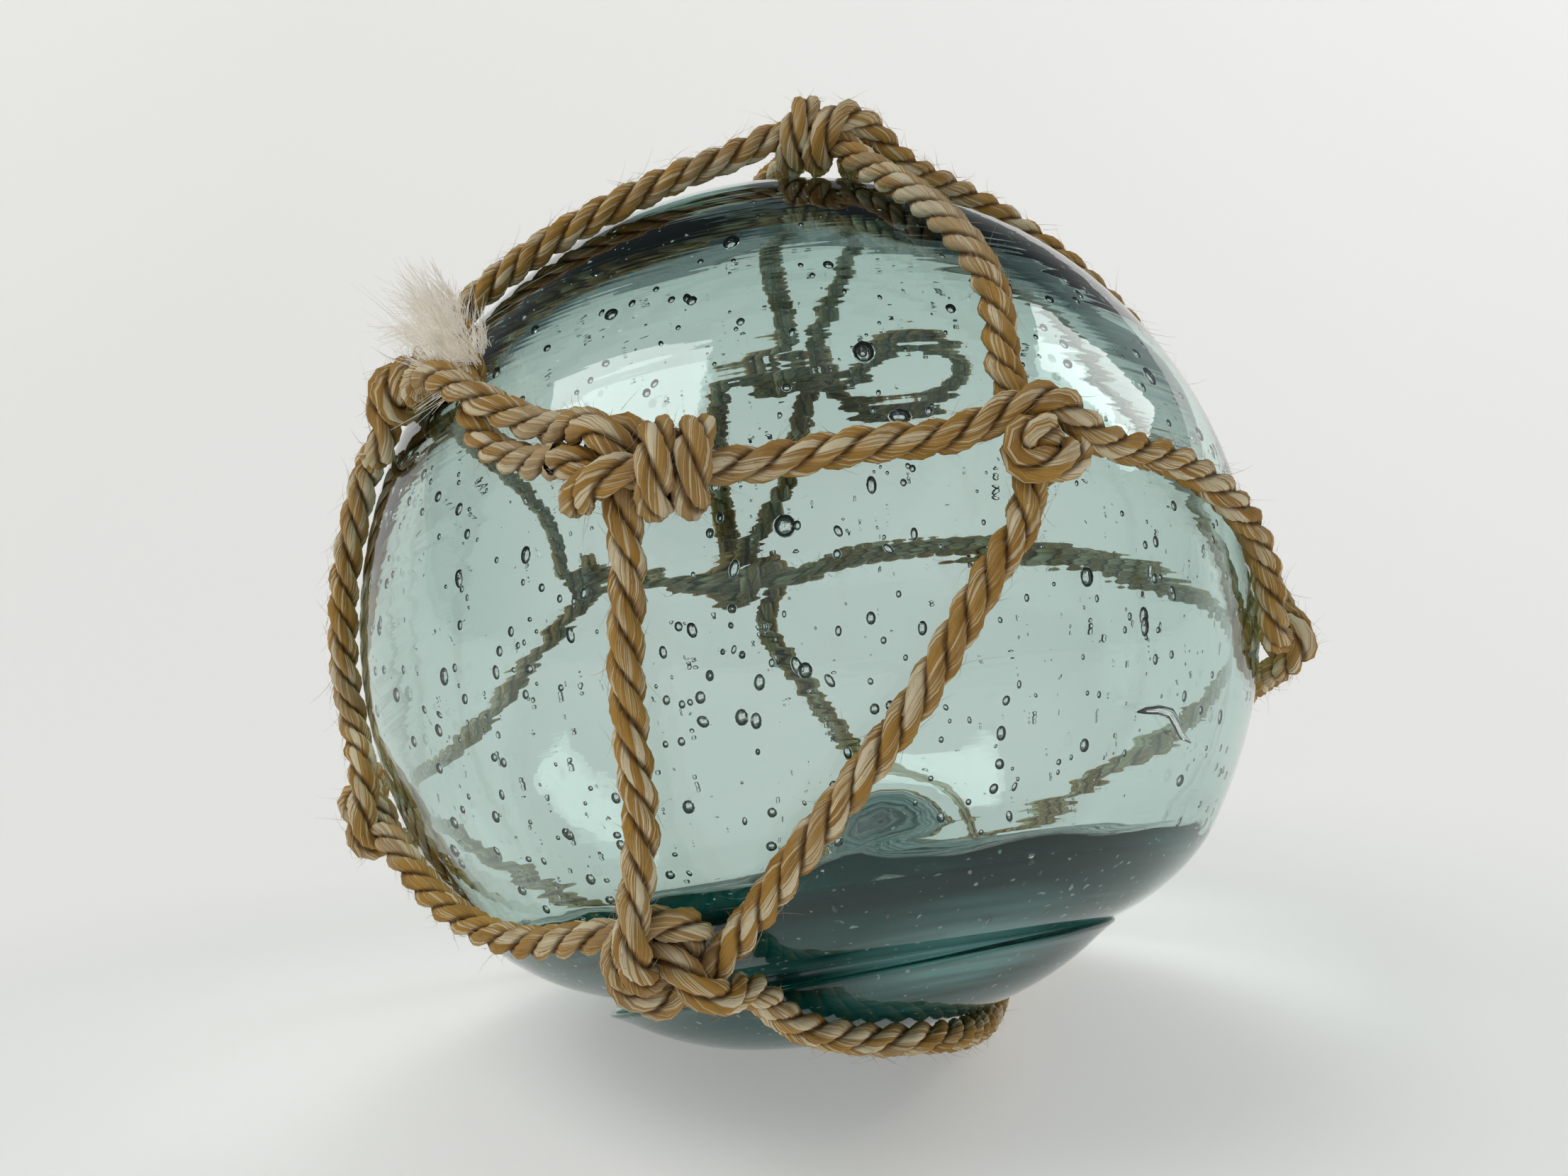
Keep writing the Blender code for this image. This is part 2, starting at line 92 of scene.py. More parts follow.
# The points of each cord between its knots: bearing, height and stand-off in millimetres
CORDS = {
    "top_to_front_right": [(17, 71, 0), (22.5, 64, 0), (24.5, 53, 0), (25.5, 43.5, 0), (24.5, 34, 0)],
    "top_to_left": [(-24, 73, 1.2), (-41, 66, 0.7), (-55, 57, 0), (-66, 49, 0), (-71, 41, 0.5)],
    "top_to_right": [
        (58, 76, 0.6), (92, 68, 0), (98, 58, 0), (98, 44, 0), (98, 29, 0), (94, 14, 0),
    ],
    "top_to_back_near": [(-145, 79, 0.4), (-164, 68, 0), (-172, 57, 0), (-176, 48, 0)],
    "top_to_back_far": [(132, 79, 0.4), (164, 68, 0), (171, 57, 0), (177, 48, 0)],
    "front_right_to_left": [(14, 25.6, 0), (6, 24.8, 0), (-3, 22.6, 0)],
    "front_left_to_left": [
        (-27, 24.9, 0), (-35.5, 26.9, 1.8), (-43, 29.4, 3.6), (-51, 30.5, 3.2), (-62, 30.8, 1.0),
    ],
    "front_right_to_right": [
        (32, 26.8, 0), (42, 23, 0), (52, 18.5, 0), (60.5, 13.5, 0), (67.5, 8, 0),
    ],
    "left_to_back_left": [(-90, 31, 0), (-108, 26, 0), (-123, 18.5, 0), (-133, 10.5, 0)],
    "back_left_to_back": [(-152, 0.6, 0), (-162, 0.4, 0)],
    "back_to_right": [(176, 2, 0), (159, 3.8, 0), (138, 4.6, 0), (114, 3.2, 0), (97, 1.5, 0)],
    "back_high_to_back": [(-176.5, 30, 0), (-176, 19, 0), (-175, 9, 0)],
    "front_left_down": [
        (-18, 13, 0), (-17.6, 5, 0), (-17, -3, 0), (-16, -10, 0), (-15.6, -17, 0.2),
    ],
    "front_right_down": [
        (20.6, 18.5, 0), (15.8, 12.5, 0), (11, 4, 0), (4.7, -4.6, 0), (-2.3, -14, 0), (-9, -21.5, 0),
    ],
    "left_down": [(-75, 22, 0.3), (-75, 11, 0), (-74, -2, 0), (-76, -11, 0)],
    "back_left_down": [(-135, -6, 0), (-124, -13.5, 0), (-111, -19, 0), (-97, -20.5, 0)],
    "back_down": [(-177, -8.5, 0), (179, -17, 0), (168, -30, 0), (157, -40, 0)],
    "right_down": [(88, -8, 0), (98, -14.5, 0), (107, -22.5, 0), (117, -31, 0), (130, -41, 0)],
    "left_low_to_front_low": [
        (-67, -22.5, 0), (-57, -26.5, 0), (-46, -29, 0), (-35, -28.5, 0), (-25, -27, 0),
    ],
    "under_seal": [
        (-9.5, -32.5, 0.2), (-5.5, -37.3, 0), (-2, -40.3, 0), (4, -43, 0), (11, -44.7, 0),
        (19, -46.5, 0), (29, -50.5, 0), (42, -56.5, 0), (62, -61.5, 0), (96, -61, 0), (124, -55, 0),
    ],
    "left_low_to_back_low": [
        (-90, -30, 0), (-101, -42, 0), (-116, -53, 0), (-146, -62, 0), (177, -60, 0), (158, -53, 0),
    ],
    "spare_cord": [
        (-170, 40.8, 0), (-164, 41, 0), (-161.8, 36, 0), (-163.8, 28, 0), (-165, 19, 0),
        (-166.5, 10.5, 0),
    ],
    "spare_loop": [
        (172, 42, 0), (163.5, 46.5, 0), (153, 49.8, 0), (144, 49, 0), (141, 43.5, 0),
        (150, 36, 0), (162.5, 33, 0), (172.5, 34, 0),
    ],
    "loose_end": [
        (-24, 20.8, 0), (-30, 21.8, 0), (-36.5, 22.9, 0), (-41.5, 25, 0), (-43, 28.5, 0),
        (-45.5, 32.5, 0.6), (-49.5, 36, 1.6),
    ],
}


def hitch(turn: float = 0.0, layers: float = 1.0) -> tuple[list, list]:
    """Two ropes tied across each other, two cords thick: each passes over and under the other.

    Args:
        turn: How far the knot is turned about the outward axis, in degrees.
        layers: How far its outer cords stand out, against an ordinary hitch.

    Returns:
        The crossing rope's points, left to right, and the rising rope's points, bottom to top.
    """
    crossing = [(-2.3, 0, 0.55), (-1.3, 0.1, 0.5), (-0.6, 0.1, 0.5), (-0.05, 0, 1.0),
                (0.5, -0.1, 1.5), (1.1, -0.1, 1.1), (1.6, 0, 0.55), (2.4, 0, 0.55)]
    rising = [(0, -2.4, 0.55), (-0.2, -1.6, 0.55), (-0.5, -0.8, 1.1), (-0.6, 0.1, 1.5),
              (-0.35, 0.85, 1.1), (0.15, 1.05, 0.55), (0.6, 0.6, 0.5), (0.6, -0.1, 0.5),
              (0.8, -0.85, 0.55), (1.35, -0.9, 1.0), (1.7, -0.3, 1.5), (1.5, 0.5, 1.35),
              (0.95, 1.15, 1.0), (0.3, 1.7, 0.6), (0, 2.5, 0.55)]
    c, s = math.cos(math.radians(turn)), math.sin(math.radians(turn))

    def turned(points: list) -> list:
        """The points turned about the outward axis and pressed towards the glass."""
        return [(x * c - y * s, x * s + y * c, 0.5 + (z - 0.5) * layers) for x, y, z in points]

    return turned(crossing), turned(rising)


def knot_runs() -> dict[str, list[tuple]]:
    """How the cords run through each knot.

    Returns:
        For each knot, its runs: the cord end that a run starts from, the cord end that it goes on
        to, or None where it stops inside, and its points in cord widths, right, up and outwards.
    """
    runs: dict[str, list[tuple]] = {}
    runs["front_right"] = [
        ("front_right_to_left:0", "front_right_to_right:0", [
            (-2.4, 0.05, 0.6), (-1.65, 0.38, 0.9), (-0.95, 0.6, 1.3), (-0.2, 0.82, 1.6),
            (0.35, 0.92, 1.7), (0.9, 0.88, 1.5), (1.4, 0.62, 1.0), (1.95, 0.3, 0.7), (2.5, 0, 0.6),
        ]),
        ("top_to_front_right:1", "front_right_down:0", [
            (-0.36, 2.3, 0.55), (-0.04, 1.65, 0.5), (0.2, 1.15, 0.45), (0.4, 0.7, 0.45),
            (0.5, 0.3, 0.8), (0.2, 0.2, 1.5), (-0.4, 0.12, 1.7), (-0.95, -0.05, 1.4),
            (-1.1, -0.4, 1.2), (-0.75, -0.75, 1.4), (-0.15, -0.85, 1.6), (0.45, -0.8, 1.6),
            (0.92, -0.5, 1.3), (1.0, -0.05, 0.9), (0.7, 0.15, 0.5), (0.2, -0.1, 0.45),
            (-0.15, -0.65, 0.45), (-0.29, -1.3, 0.5), (-0.3, -2.3, 0.55),
        ]),
    ]
    runs["front_left"] = [
        ("front_left_to_left:0", "front_left_down:0", [
            (-2.6, 1.0, 0.8), (-1.75, 0.9, 1.2), (-1.15, 1.0, 1.7), (-0.75, 0.92, 2.0),
            (-0.42, 0.62, 2.0), (-0.15, 0.25, 1.6), (0, -0.2, 0.8), (-0.1, -0.7, 0.5),
            (-0.33, -1.3, 0.5), (-0.4, -2.3, 0.55),
        ]),
        ("front_right_to_left:1", None, [
            (2.9, 0.4, 0.55), (2.0, 0.2, 0.7), (1.35, 0.05, 1.1), (0.7, 0.0, 1.3),
            (0.1, -0.05, 1.5), (-0.5, -0.35, 1.7), (-1.1, -0.65, 1.6), (-1.6, -0.7, 1.2),
            (-1.85, -0.45, 0.7), (-1.7, 0.05, 0.5), (-1.5, 0.6, 0.5), (-1.3, 1.1, 0.9),
            (-0.95, 1.35, 1.4), (-0.5, 1.1, 1.6), (-0.25, 0.6, 1.0), (-0.1, 0.1, 0.5),
            (0.0, -0.5, 0.5), (0.1, -0.95, 0.9), (0.2, -0.9, 1.7), (0.25, -0.3, 2.2),
            (0.28, 0.3, 2.1), (0.3, 0.7, 1.4), (0.42, 0.75, 0.7), (0.65, 0.45, 0.45),
            (0.8, -0.2, 0.45), (0.9, -0.8, 0.7), (1.0, -0.98, 1.4), (1.0, -0.45, 2.0),
            (0.98, 0.15, 2.0), (0.95, 0.55, 1.4),
        ]),
        ("loose_end:0", None, [
            (-2.6, 0.4, 0.55), (-2.0, 0.25, 0.55), (-1.2, 0.1, 0.5), (-0.6, -0.3, 0.45),
            (0.0, -0.7, 0.5),
        ]),
    ]
    runs["front_low"] = [
        ("front_left_down:1", "front_right_down:1", [
            (-0.24, 2.6, 0.6), (-0.2, 1.75, 1.2), (-0.22, 0.98, 2.1), (-0.2, 0.2, 2.1),
            (-0.12, -0.4, 1.2), (0.05, -0.85, 0.5), (0.6, -0.65, 0.45), (1.15, 0.05, 0.6),
            (1.2, 0.6, 0.9), (0.8, 1.05, 1.2), (0.25, 1.15, 1.05), (-0.35, 1.1, 0.95),
            (-0.85, 0.8, 1.1), (-1.1, 0.15, 1.3), (-0.85, -0.5, 1.4), (-0.2, -0.85, 1.5),
            (0.5, -0.75, 1.3), (1.05, -0.4, 1.0), (1.5, -0.05, 0.6), (2.1, 0.2, 0.55),
        ]),
        ("left_low_to_front_low:1", "under_seal:0", [
            (-2.3, 0, 0.55), (-1.3, 0.08, 0.5), (-0.6, 0.25, 0.6), (0, 0.35, 1.1),
            (0.6, 0.35, 1.8), (1.08, -0.1, 2.0), (1.5, -0.65, 1.4), (1.87, -1.24, 0.8),
            (2.4, -1.75, 0.6),
        ]),
    ]
    runs["top"] = [
        ("top_to_left:0", "top_to_front_right:0", [
            (-2.3, 0.1, 0.9), (-1.4, 0, 1.15), (-0.7, -0.1, 1.25), (-0.1, -0.4, 1.2),
            (0.35, -0.85, 0.95), (0.7, -1.5, 0.6), (1.0, -2.2, 0.55),
        ]),
        ("top_to_right:0", "top_to_back_near:0", [
            (3.0, 0.9, 0.55), (2.2, 0.6, 0.75), (1.8, 0.15, 1.2), (1.5, -0.1, 1.8),
            (0.95, -0.15, 2.2), (0.35, -0.2, 2.0), (-0.05, -0.6, 1.6), (-0.2, -0.75, 1.0),
            (-0.2, -0.4, 0.5), (-0.25, 0.2, 0.45), (-0.3, 0.6, 0.9), (-0.4, 0.4, 1.7),
            (-0.65, -0.25, 1.85), (-0.85, -0.65, 1.2), (-0.85, -0.2, 0.5), (-0.7, 0.8, 0.45),
            (-0.55, 1.6, 0.5), (-0.5, 2.4, 0.55),
        ]),
        ("top_to_back_far:0", None, [
            (1.1, 2.1, 0.55), (0.9, 1.4, 0.55), (0.8, 0.8, 0.6), (0.6, 0.35, 0.7),
            (0.55, -0.1, 0.7), (0.9, -0.35, 0.8),
        ]),
    ]
    straight, wrapping = hitch(0, TIGHT)
    runs["left"] = [
        ("left_to_back_left:0", "front_left_to_left:1", straight),
        ("left_down:0", "top_to_left:1", wrapping),
    ]
    straight, wrapping = hitch(-20, TIGHT)
    runs["left_low"] = [
        ("back_left_down:1", "left_low_to_front_low:0", straight),
        ("left_low_to_back_low:0", "left_down:1", wrapping),
    ]
    straight, wrapping = hitch(0, TIGHT)
    runs["right"] = [
        ("front_right_to_right:1", "back_to_right:1", straight),
        ("right_down:0", "top_to_right:1", [
            (2.2, -1.9, 0.55), (1.2, -1.5, 0.55), (0.4, -1.2, 0.7), *wrapping[3:11],
            (1.7, 0.3, 0.9), (2.2, 1.1, 0.6), (2.9, 1.8, 0.55),
        ]),
    ]
    straight, wrapping = hitch()
    runs["back_left"] = [
        ("back_left_to_back:0", "left_to_back_left:1", straight),
        ("back_left_down:0", None, [(1.5, -1.7, 0.55), (0.6, -1.0, 0.7), *wrapping[2:9]]),
    ]
    straight, wrapping = hitch()
    runs["back"] = [
        ("back_to_right:0", "back_left_to_back:1", straight),
        ("back_down:0", "back_high_to_back:1", wrapping),
        ("spare_cord:1", None, [(1.2, 2.1, 0.55), (1.1, 1.3, 0.8), (1.2, 0.5, 1.8), (1.3, -0.3, 2.0),
                                (1.3, -0.8, 1.2)]),
    ]
    runs["back_high"] = [
        ("spare_loop:0", "spare_cord:0", straight),
        ("back_high_to_back:0", "top_to_back_near:1", wrapping),
        ("spare_loop:1", "top_to_back_far:1", [
            (-2.0, -1.0, 0.55), (-1.3, -0.8, 0.9), (-1.0, -0.2, 1.9), (-0.95, 0.5, 1.9),
            (-0.8, 1.2, 1.0), (-0.5, 2.2, 0.55),
        ]),
    ]
    straight, wrapping = hitch(-40)
    runs["back_low"] = [
        ("right_down:1", "left_low_to_back_low:1", straight),
        ("under_seal:1", "back_down:1", wrapping),
    ]
    return runs


def on_ball(bearing: float, height: float) -> Array:
    """The unit direction from the ball's centre at this bearing and height, in degrees."""
    turn, rise = math.radians(bearing), math.radians(height)
    return np.array(
        [math.sin(turn) * math.cos(rise), -math.cos(turn) * math.cos(rise), math.sin(rise)]
    )


def unit(vectors: Array) -> Array:
    """The vectors, each at length one."""
    return vectors / np.maximum(np.linalg.norm(vectors, axis=-1, keepdims=True), 1e-12)


@dataclass(frozen=True)
class GlassForm:
    """The outer form of the glass: a ball with its seal, turned about the seal's axis."""

    seal_bearing: float = 23
    seal_height: float = -67
    seal_radius: float = 0.0252
    seal_setback: float = 0.0031
    seal_dome: float = 0.0062
    dome_power: float = 3
    lip_thickness: float = 0.0009
    lip_overhang: float = 0.0009
    lip_groove: float = 0.0002
    seal_lobe: float = 0.0008
    lobe_bearing: float = -60
    shoulder_width: float = 0.014
    shoulder_power: float = 1.6
    flat_spot_radius: float = 0.006
    # How far the lip stands out at its two edges and in its middle, as shares of the overhang
    lip_root: float = 0.35
    lip_bulge: float = 0.65
    # The outline that the glass is measured by: steps over the ball, over its shoulder and its seal
    ball_steps: int = 4
    fine_steps: int = 24

    @property
    def axis(self) -> Array:
        """The direction from the ball's centre to the seal's middle."""
        return on_ball(self.seal_bearing, self.seal_height)

    @property
    def groove_angle(self) -> float:
        """The angle between the seal's axis and the groove."""
        return math.asin(self.seal_radius / (BALL_RADIUS - self.seal_setback))

    @property
    def lip_depth(self) -> float:
        """How far below the ball's centre, along the seal's axis, the lip starts."""
        reach = BALL_RADIUS - self.seal_setback
        return math.sqrt(reach**2 - self.seal_radius**2) + self.lip_groove

    def ball_outline(self, rings: int, shoulder_rings: int) -> Array:
        """Radius and depth from the pole above down to the groove.

        Args:
            rings: The steps over the ball.
            shoulder_rings: The steps over the shoulder.

        Returns:
            The outline's points.
        """
        groove = self.groove_angle
        shoulder = groove + self.shoulder_width / BALL_RADIUS
        angle = math.pi - (math.pi - shoulder) * np.linspace(0, 1, rings + 1)
        ball = BALL_RADIUS * np.stack([np.sin(angle), np.cos(angle)], 1)
        share = np.linspace(0, 1, shoulder_rings + 1)[1:]
        angle = shoulder - (shoulder - groove) * share
        reach = BALL_RADIUS - self.seal_setback * share**self.shoulder_power
        return np.vstack([ball, np.stack([reach * np.sin(angle), reach * np.cos(angle)], 1)])

    def seal_outline(self, lip_steps: int, dome_steps: int) -> Array:
        """Radius and depth from the lip down to the seal's middle.

        Args:
            lip_steps: The steps round the lip's edge.
            dome_steps: The steps over the dome.

        Returns:
            The outline's points.
        """
        bulge = np.sin(np.linspace(0, math.pi, lip_steps))
        depth = self.lip_depth + self.lip_thickness * np.linspace(0, 1, lip_steps)
        edge = self.seal_radius + self.lip_overhang * (self.lip_root + self.lip_bulge * bulge)
        lip = np.stack([edge, depth], 1)
        share = 1 - np.linspace(0, 1, dome_steps + 1)[1:]
        drop = self.seal_dome * (1 - share**self.dome_power)
        dome = np.stack([self.seal_radius * share, self.lip_depth + self.lip_thickness + drop], 1)
        return np.vstack([lip, dome])

    def lobe_shift(self, directions: Array) -> Array:
        """How much further out the seal stands, because it is heavier on one side.

        Args:
            directions: Directions from the ball's centre.

        Returns:
            The shift along the seal's axis in each direction.
        """
        heavy = on_ball(self.lobe_bearing, 0)
        heavy = unit(heavy - self.axis * heavy.dot(self.axis))
        return self.seal_lobe * (unit(directions) @ heavy) * BALL_RADIUS / self.seal_radius

    def radius(self, directions: Array) -> Array:
        """The distance from the ball's centre to the glass.

        Args:
            directions: Directions from the ball's centre.

        Returns:
            The distance in each direction.
        """
        facing = unit(directions)
        angle = np.arccos(np.clip(facing @ self.axis, -1, 1))
        ball = self.ball_outline(self.ball_steps, self.fine_steps)
        seal = self.seal_outline(2, self.fine_steps)[1:]
        outline = np.vstack([ball, seal])[::-1]
        at = np.arctan2(outline[:, 0], outline[:, 1])
        reach = np.interp(angle, at, np.hypot(outline[:, 0], outline[:, 1]))
        inside = angle < self.groove_angle
        return reach + np.where(inside, self.lobe_shift(facing) * np.cos(angle), 0)

    @property
    def centre(self) -> Array:
        """The ball's centre, as high as the flat spot allows."""
        down = self.radius(np.array([[0.0, 0.0, -1.0]]))[0]
        return np.array([0, 0, math.sqrt(down**2 - self.flat_spot_radius**2)])

    def place(self, bearing: float, height: float, lift: float) -> Array:
        """The point over the glass at this bearing and height, with its distance from the glass."""
        facing = on_ball(bearing, height)
        return self.centre + facing * (self.radius(facing[None])[0] + lift)


FORM = GlassForm()


@dataclass(frozen=True)
class View:
    """The photo's viewing angle, and places on the glass that are given by their place in the photo."""

    offset: Triple = (-0.05303, -3.16841, 0.44535)
    pitch: float = 6.502
    width: float = 2212
    height: float = 1659
    focal: float = 1930
    sensor: float = 36.0

    @property
    def place(self) -> Array:
        """Where the camera stands."""
        return FORM.centre + np.array(self.offset) * BALL_RADIUS

    @property
    def lens(self) -> float:
        """The camera's focal length in millimetres."""
        return self.focal / self.width * self.sensor

    @property
    def up(self) -> Array:
        """The photo's upward direction."""
        tilt = math.radians(self.pitch)
        return np.array([0, math.sin(tilt), math.cos(tilt)])

    def on_glass(self, x: float, y: float, depth: float) -> Array:
        """The point that far under the near side of the glass, seen at this place of the photo.

        Args:
            x: The distance from the photo's left edge, in its pixels.
            y: The distance from its top edge.
            depth: How far under the ball's surface, in metres.

        Returns:
            The point, or the nearest one on the limb.
        """
        tilt = math.radians(self.pitch)
        ahead = np.array([0, math.cos(tilt), -math.sin(tilt)])
        ray = ahead * self.focal - self.up * (y - self.height / 2)
        ray[0] += x - self.width / 2
        ray = unit(ray)
        start = self.place - FORM.centre
        along = start @ ray
        rest = along**2 - start @ start + (BALL_RADIUS - depth) ** 2
        return self.place + ray * (-along - math.sqrt(max(rest, 0)))


VIEW = View()


def new_mesh_object(
    name: str, points: Array, faces: Array | list[Array], layers: dict[str, Array] | None = None
) -> Piece:
    """A mesh object in the scene.

    Args:
        name: The object's name.
        points: Its points, in metres.
        faces: Its faces, all with the same count of corners, or a list of such arrays.
        layers: Named pairs of numbers for each corner of each face, in the faces' order.

    Returns:
        The new object.
    """
    groups = faces if isinstance(faces, list) else [faces]
    groups = [group for group in groups if len(group)]
    mesh = bpy.data.meshes.new(name)
    mesh.vertices.add(len(points))
    mesh.vertices.foreach_set("co", np.asarray(points, np.float32).ravel())
    corners = np.concatenate([group.ravel() for group in groups]).astype(np.int32)
    counts = np.concatenate([np.full(len(group), group.shape[1]) for group in groups])
    starts = np.concatenate([[0], np.cumsum(counts)[:-1]]).astype(np.int32)
    mesh.loops.add(len(corners))
    mesh.loops.foreach_set("vertex_index", corners)
    mesh.polygons.add(len(counts))
    mesh.polygons.foreach_set("loop_start", starts)
    mesh.polygons.foreach_set("loop_total", counts.astype(np.int32))
    mesh.update(calc_edges=True)
    for key, values in (layers or {}).items():
        layer = mesh.uv_layers.new(name=key)
        layer.data.foreach_set("uv", np.asarray(values, np.float32).ravel())
    mesh.shade_smooth()
    mesh.validate()
    made = bpy.data.objects.new(name, mesh)
    bpy.context.scene.collection.objects.link(made)
    return made


def ring_faces(rings: int, sides: int, first: int = 0) -> Array:
    """The quads that join rings of points, each ring closed on itself.

    Args:
        rings: How many rings there are.
        sides: How many points each ring has.
        first: The number of the first ring's first point.

    Returns:
        The quads, as the numbers of their corners.
    """
    ring, side = np.meshgrid(np.arange(rings - 1), np.arange(sides), indexing="ij")
    ahead = (side + 1) % sides
    low, high = ring * sides + first, (ring + 1) * sides + first
    return np.stack([low + side, low + ahead, high + ahead, high + side], -1).reshape(-1, 4)


@dataclass(frozen=True)
class SeenBubbles:
    """Bubbles marked on an enlarged part of the photo: x, y, width and height."""

    corner: Pair
    zoom: float
    marks: tuple[tuple[float, float, float, float], ...]


RIGHT_BUBBLES = SeenBubbles((1000, 400), 2, (
    (430, 207, 48, 46), (455, 187, 16, 16), (80, 143, 16, 16), (550, 200, 14, 16),
    (772, 157, 14, 18), (220, 305, 34, 26), (460, 367, 18, 20), (623, 355, 16, 14),
    (535, 385, 80, 50), (570, 528, 24, 26), (545, 567, 24, 26), (463, 537, 12, 12),
    (500, 540, 14, 14), (650, 485, 12, 14), (775, 540, 10, 12), (750, 592, 12, 12),
    (215, 688, 80, 78), (250, 686, 26, 34), (35, 665, 26, 34), (10, 708, 22, 34),
    (575, 710, 26, 44), (768, 678, 16, 20), (997, 243, 32, 30), (1218, 280, 34, 60),
    (1302, 336, 20, 24), (1352, 440, 28, 44), (1272, 408, 16, 24), (930, 143, 26, 26),
    (740, 18, 40, 30), (945, 67, 30, 26), (1288, 635, 20, 34), (1148, 655, 14, 20),
    (1240, 733, 20, 38), (1212, 742, 16, 28), (1052, 830, 46, 66), (1237, 835, 22, 34),
    (962, 850, 14, 16), (887, 888, 18, 28), (1080, 890, 14, 26), (1208, 940, 32, 64),
    (1170, 940, 16, 28), (1290, 882, 14, 34), (1157, 977, 14, 24), (1215, 998, 12, 20),
    (532, 877, 20, 24), (364, 980, 24, 36), (598, 972, 34, 50), (490, 1006, 22, 26),
    (551, 1054, 18, 22), (866, 1128, 16, 28), (1042, 1052, 12, 20), (1240, 1058, 18, 36),
    (1284, 1045, 16, 28), (67, 918, 30, 32), (66, 965, 18, 22), (213, 933, 16, 24),
    (42, 1040, 18, 18), (96, 1048, 24, 24), (272, 1090, 52, 56), (285, 1148, 16, 18),
    (8, 1105, 26, 34), (95, 1220, 48, 56), (135, 1230, 40, 56), (140, 1315, 16, 20),
    (465, 1197, 36, 38), (508, 1187, 34, 34), (490, 1237, 22, 28), (650, 1282, 18, 22),
    (816, 1264, 34, 50), (1009, 1330, 12, 20), (1155, 1318, 14, 26), (1054, 1152, 14, 18),
    (1086, 1156, 14, 24), (1318, 1160, 16, 38), (1392, 1100, 12, 24), (621, 1390, 18, 20),
    (862, 1391, 12, 16), (847, 1362, 12, 14), (725, 1455, 20, 22), (350, 1410, 30, 34),
    (380, 1396, 20, 24), (1304, 1392, 26, 40), (350, 1265, 14, 14), (1375, 1302, 10, 18),
))

LEFT_BUBBLES = SeenBubbles((500, 600), 2.5, (
    (230, 115, 28, 44), (300, 210, 14, 26), (325, 262, 30, 46), (395, 185, 14, 22),
    (395, 213, 16, 22), (430, 305, 18, 20), (175, 240, 18, 46), (215, 235, 14, 30),
    (150, 325, 26, 50), (118, 355, 16, 50), (423, 390, 26, 44), (328, 400, 16, 26),
    (160, 475, 14, 26), (172, 530, 14, 30), (622, 462, 42, 74), (522, 480, 18, 28),
    (397, 530, 22, 42), (404, 580, 18, 30), (350, 572, 14, 18), (422, 610, 14, 28),
    (612, 556, 18, 28), (676, 575, 28, 36), (738, 613, 24, 34), (786, 622, 20, 30),
    (635, 685, 22, 20), (658, 727, 18, 20), (398, 705, 22, 42), (571, 727, 26, 44),
    (532, 795, 28, 44), (616, 765, 16, 26), (635, 857, 36, 40), (743, 922, 26, 30),
    (660, 908, 16, 18), (622, 945, 28, 40), (345, 882, 38, 74), (380, 852, 20, 36),
    (415, 960, 26, 44), (185, 945, 34, 60), (207, 858, 16, 36), (116, 862, 18, 40),
    (103, 718, 22, 54), (124, 563, 18, 44), (108, 1000, 20, 50), (243, 1105, 26, 46),
    (330, 1198, 30, 46), (516, 1162, 28, 36), (548, 1180, 26, 40), (430, 1296, 16, 26),
    (410, 1340, 22, 34), (383, 1385, 36, 50), (523, 1366, 32, 50), (846, 1270, 22, 22),
    (828, 1322, 18, 18), (775, 1432, 38, 40), (735, 1440, 20, 20), (635, 1512, 26, 26),
    (640, 1385, 18, 22), (938, 1432, 36, 30), (385, 1480, 36, 52), (410, 1525, 28, 40),
    (200, 1360, 30, 80), (615, 1620, 38, 40), (903, 1588, 28, 20), (915, 1655, 42, 34),
    (820, 1722, 30, 22), (697, 1685, 30, 36), (1258, 385, 36, 42), (1294, 332, 26, 42),
    (1200, 530, 20, 28), (1338, 648, 34, 38), (1330, 705, 22, 28), (867, 727, 16, 20),
    (1303, 797, 22, 26), (1371, 808, 30, 34), (1258, 880, 38, 48), (1072, 917, 16, 20),
    (1108, 965, 34, 42), (1162, 980, 30, 36), (1425, 1145, 22, 28), (1370, 1252, 14, 14),
    (1185, 1335, 54, 58), (1105, 1118, 26, 30), (1475, 1355, 42, 42), (1380, 1385, 22, 36),
    (1473, 1472, 48, 40), (1138, 1500, 26, 20), (1122, 1570, 42, 36), (1275, 1657, 16, 20),
))

TOP_BUBBLES = SeenBubbles((0, 0), 1, (
    (1034, 354, 26, 26), (868, 453, 22, 20), (1217, 503, 38, 36), (780, 500, 12, 12),
    (930, 418, 10, 10), (860, 520, 14, 12), (700, 620, 12, 14), (1130, 330, 9, 8),
    (1190, 420, 9, 9), (960, 470, 9, 9), (1010, 520, 8, 8), (820, 560, 9, 9), (745, 570, 10, 12),
))

# The folded bubble at the right: places in the photo along its middle, and its half width there
FOLDED_BUBBLE = (
    (1595, 1002, 1.2), (1607, 1000, 5), (1625, 999, 6.5), (1641, 1004, 8), (1649, 1019, 8),
    (1655, 1034, 6), (1667, 1044, 1.2),
)


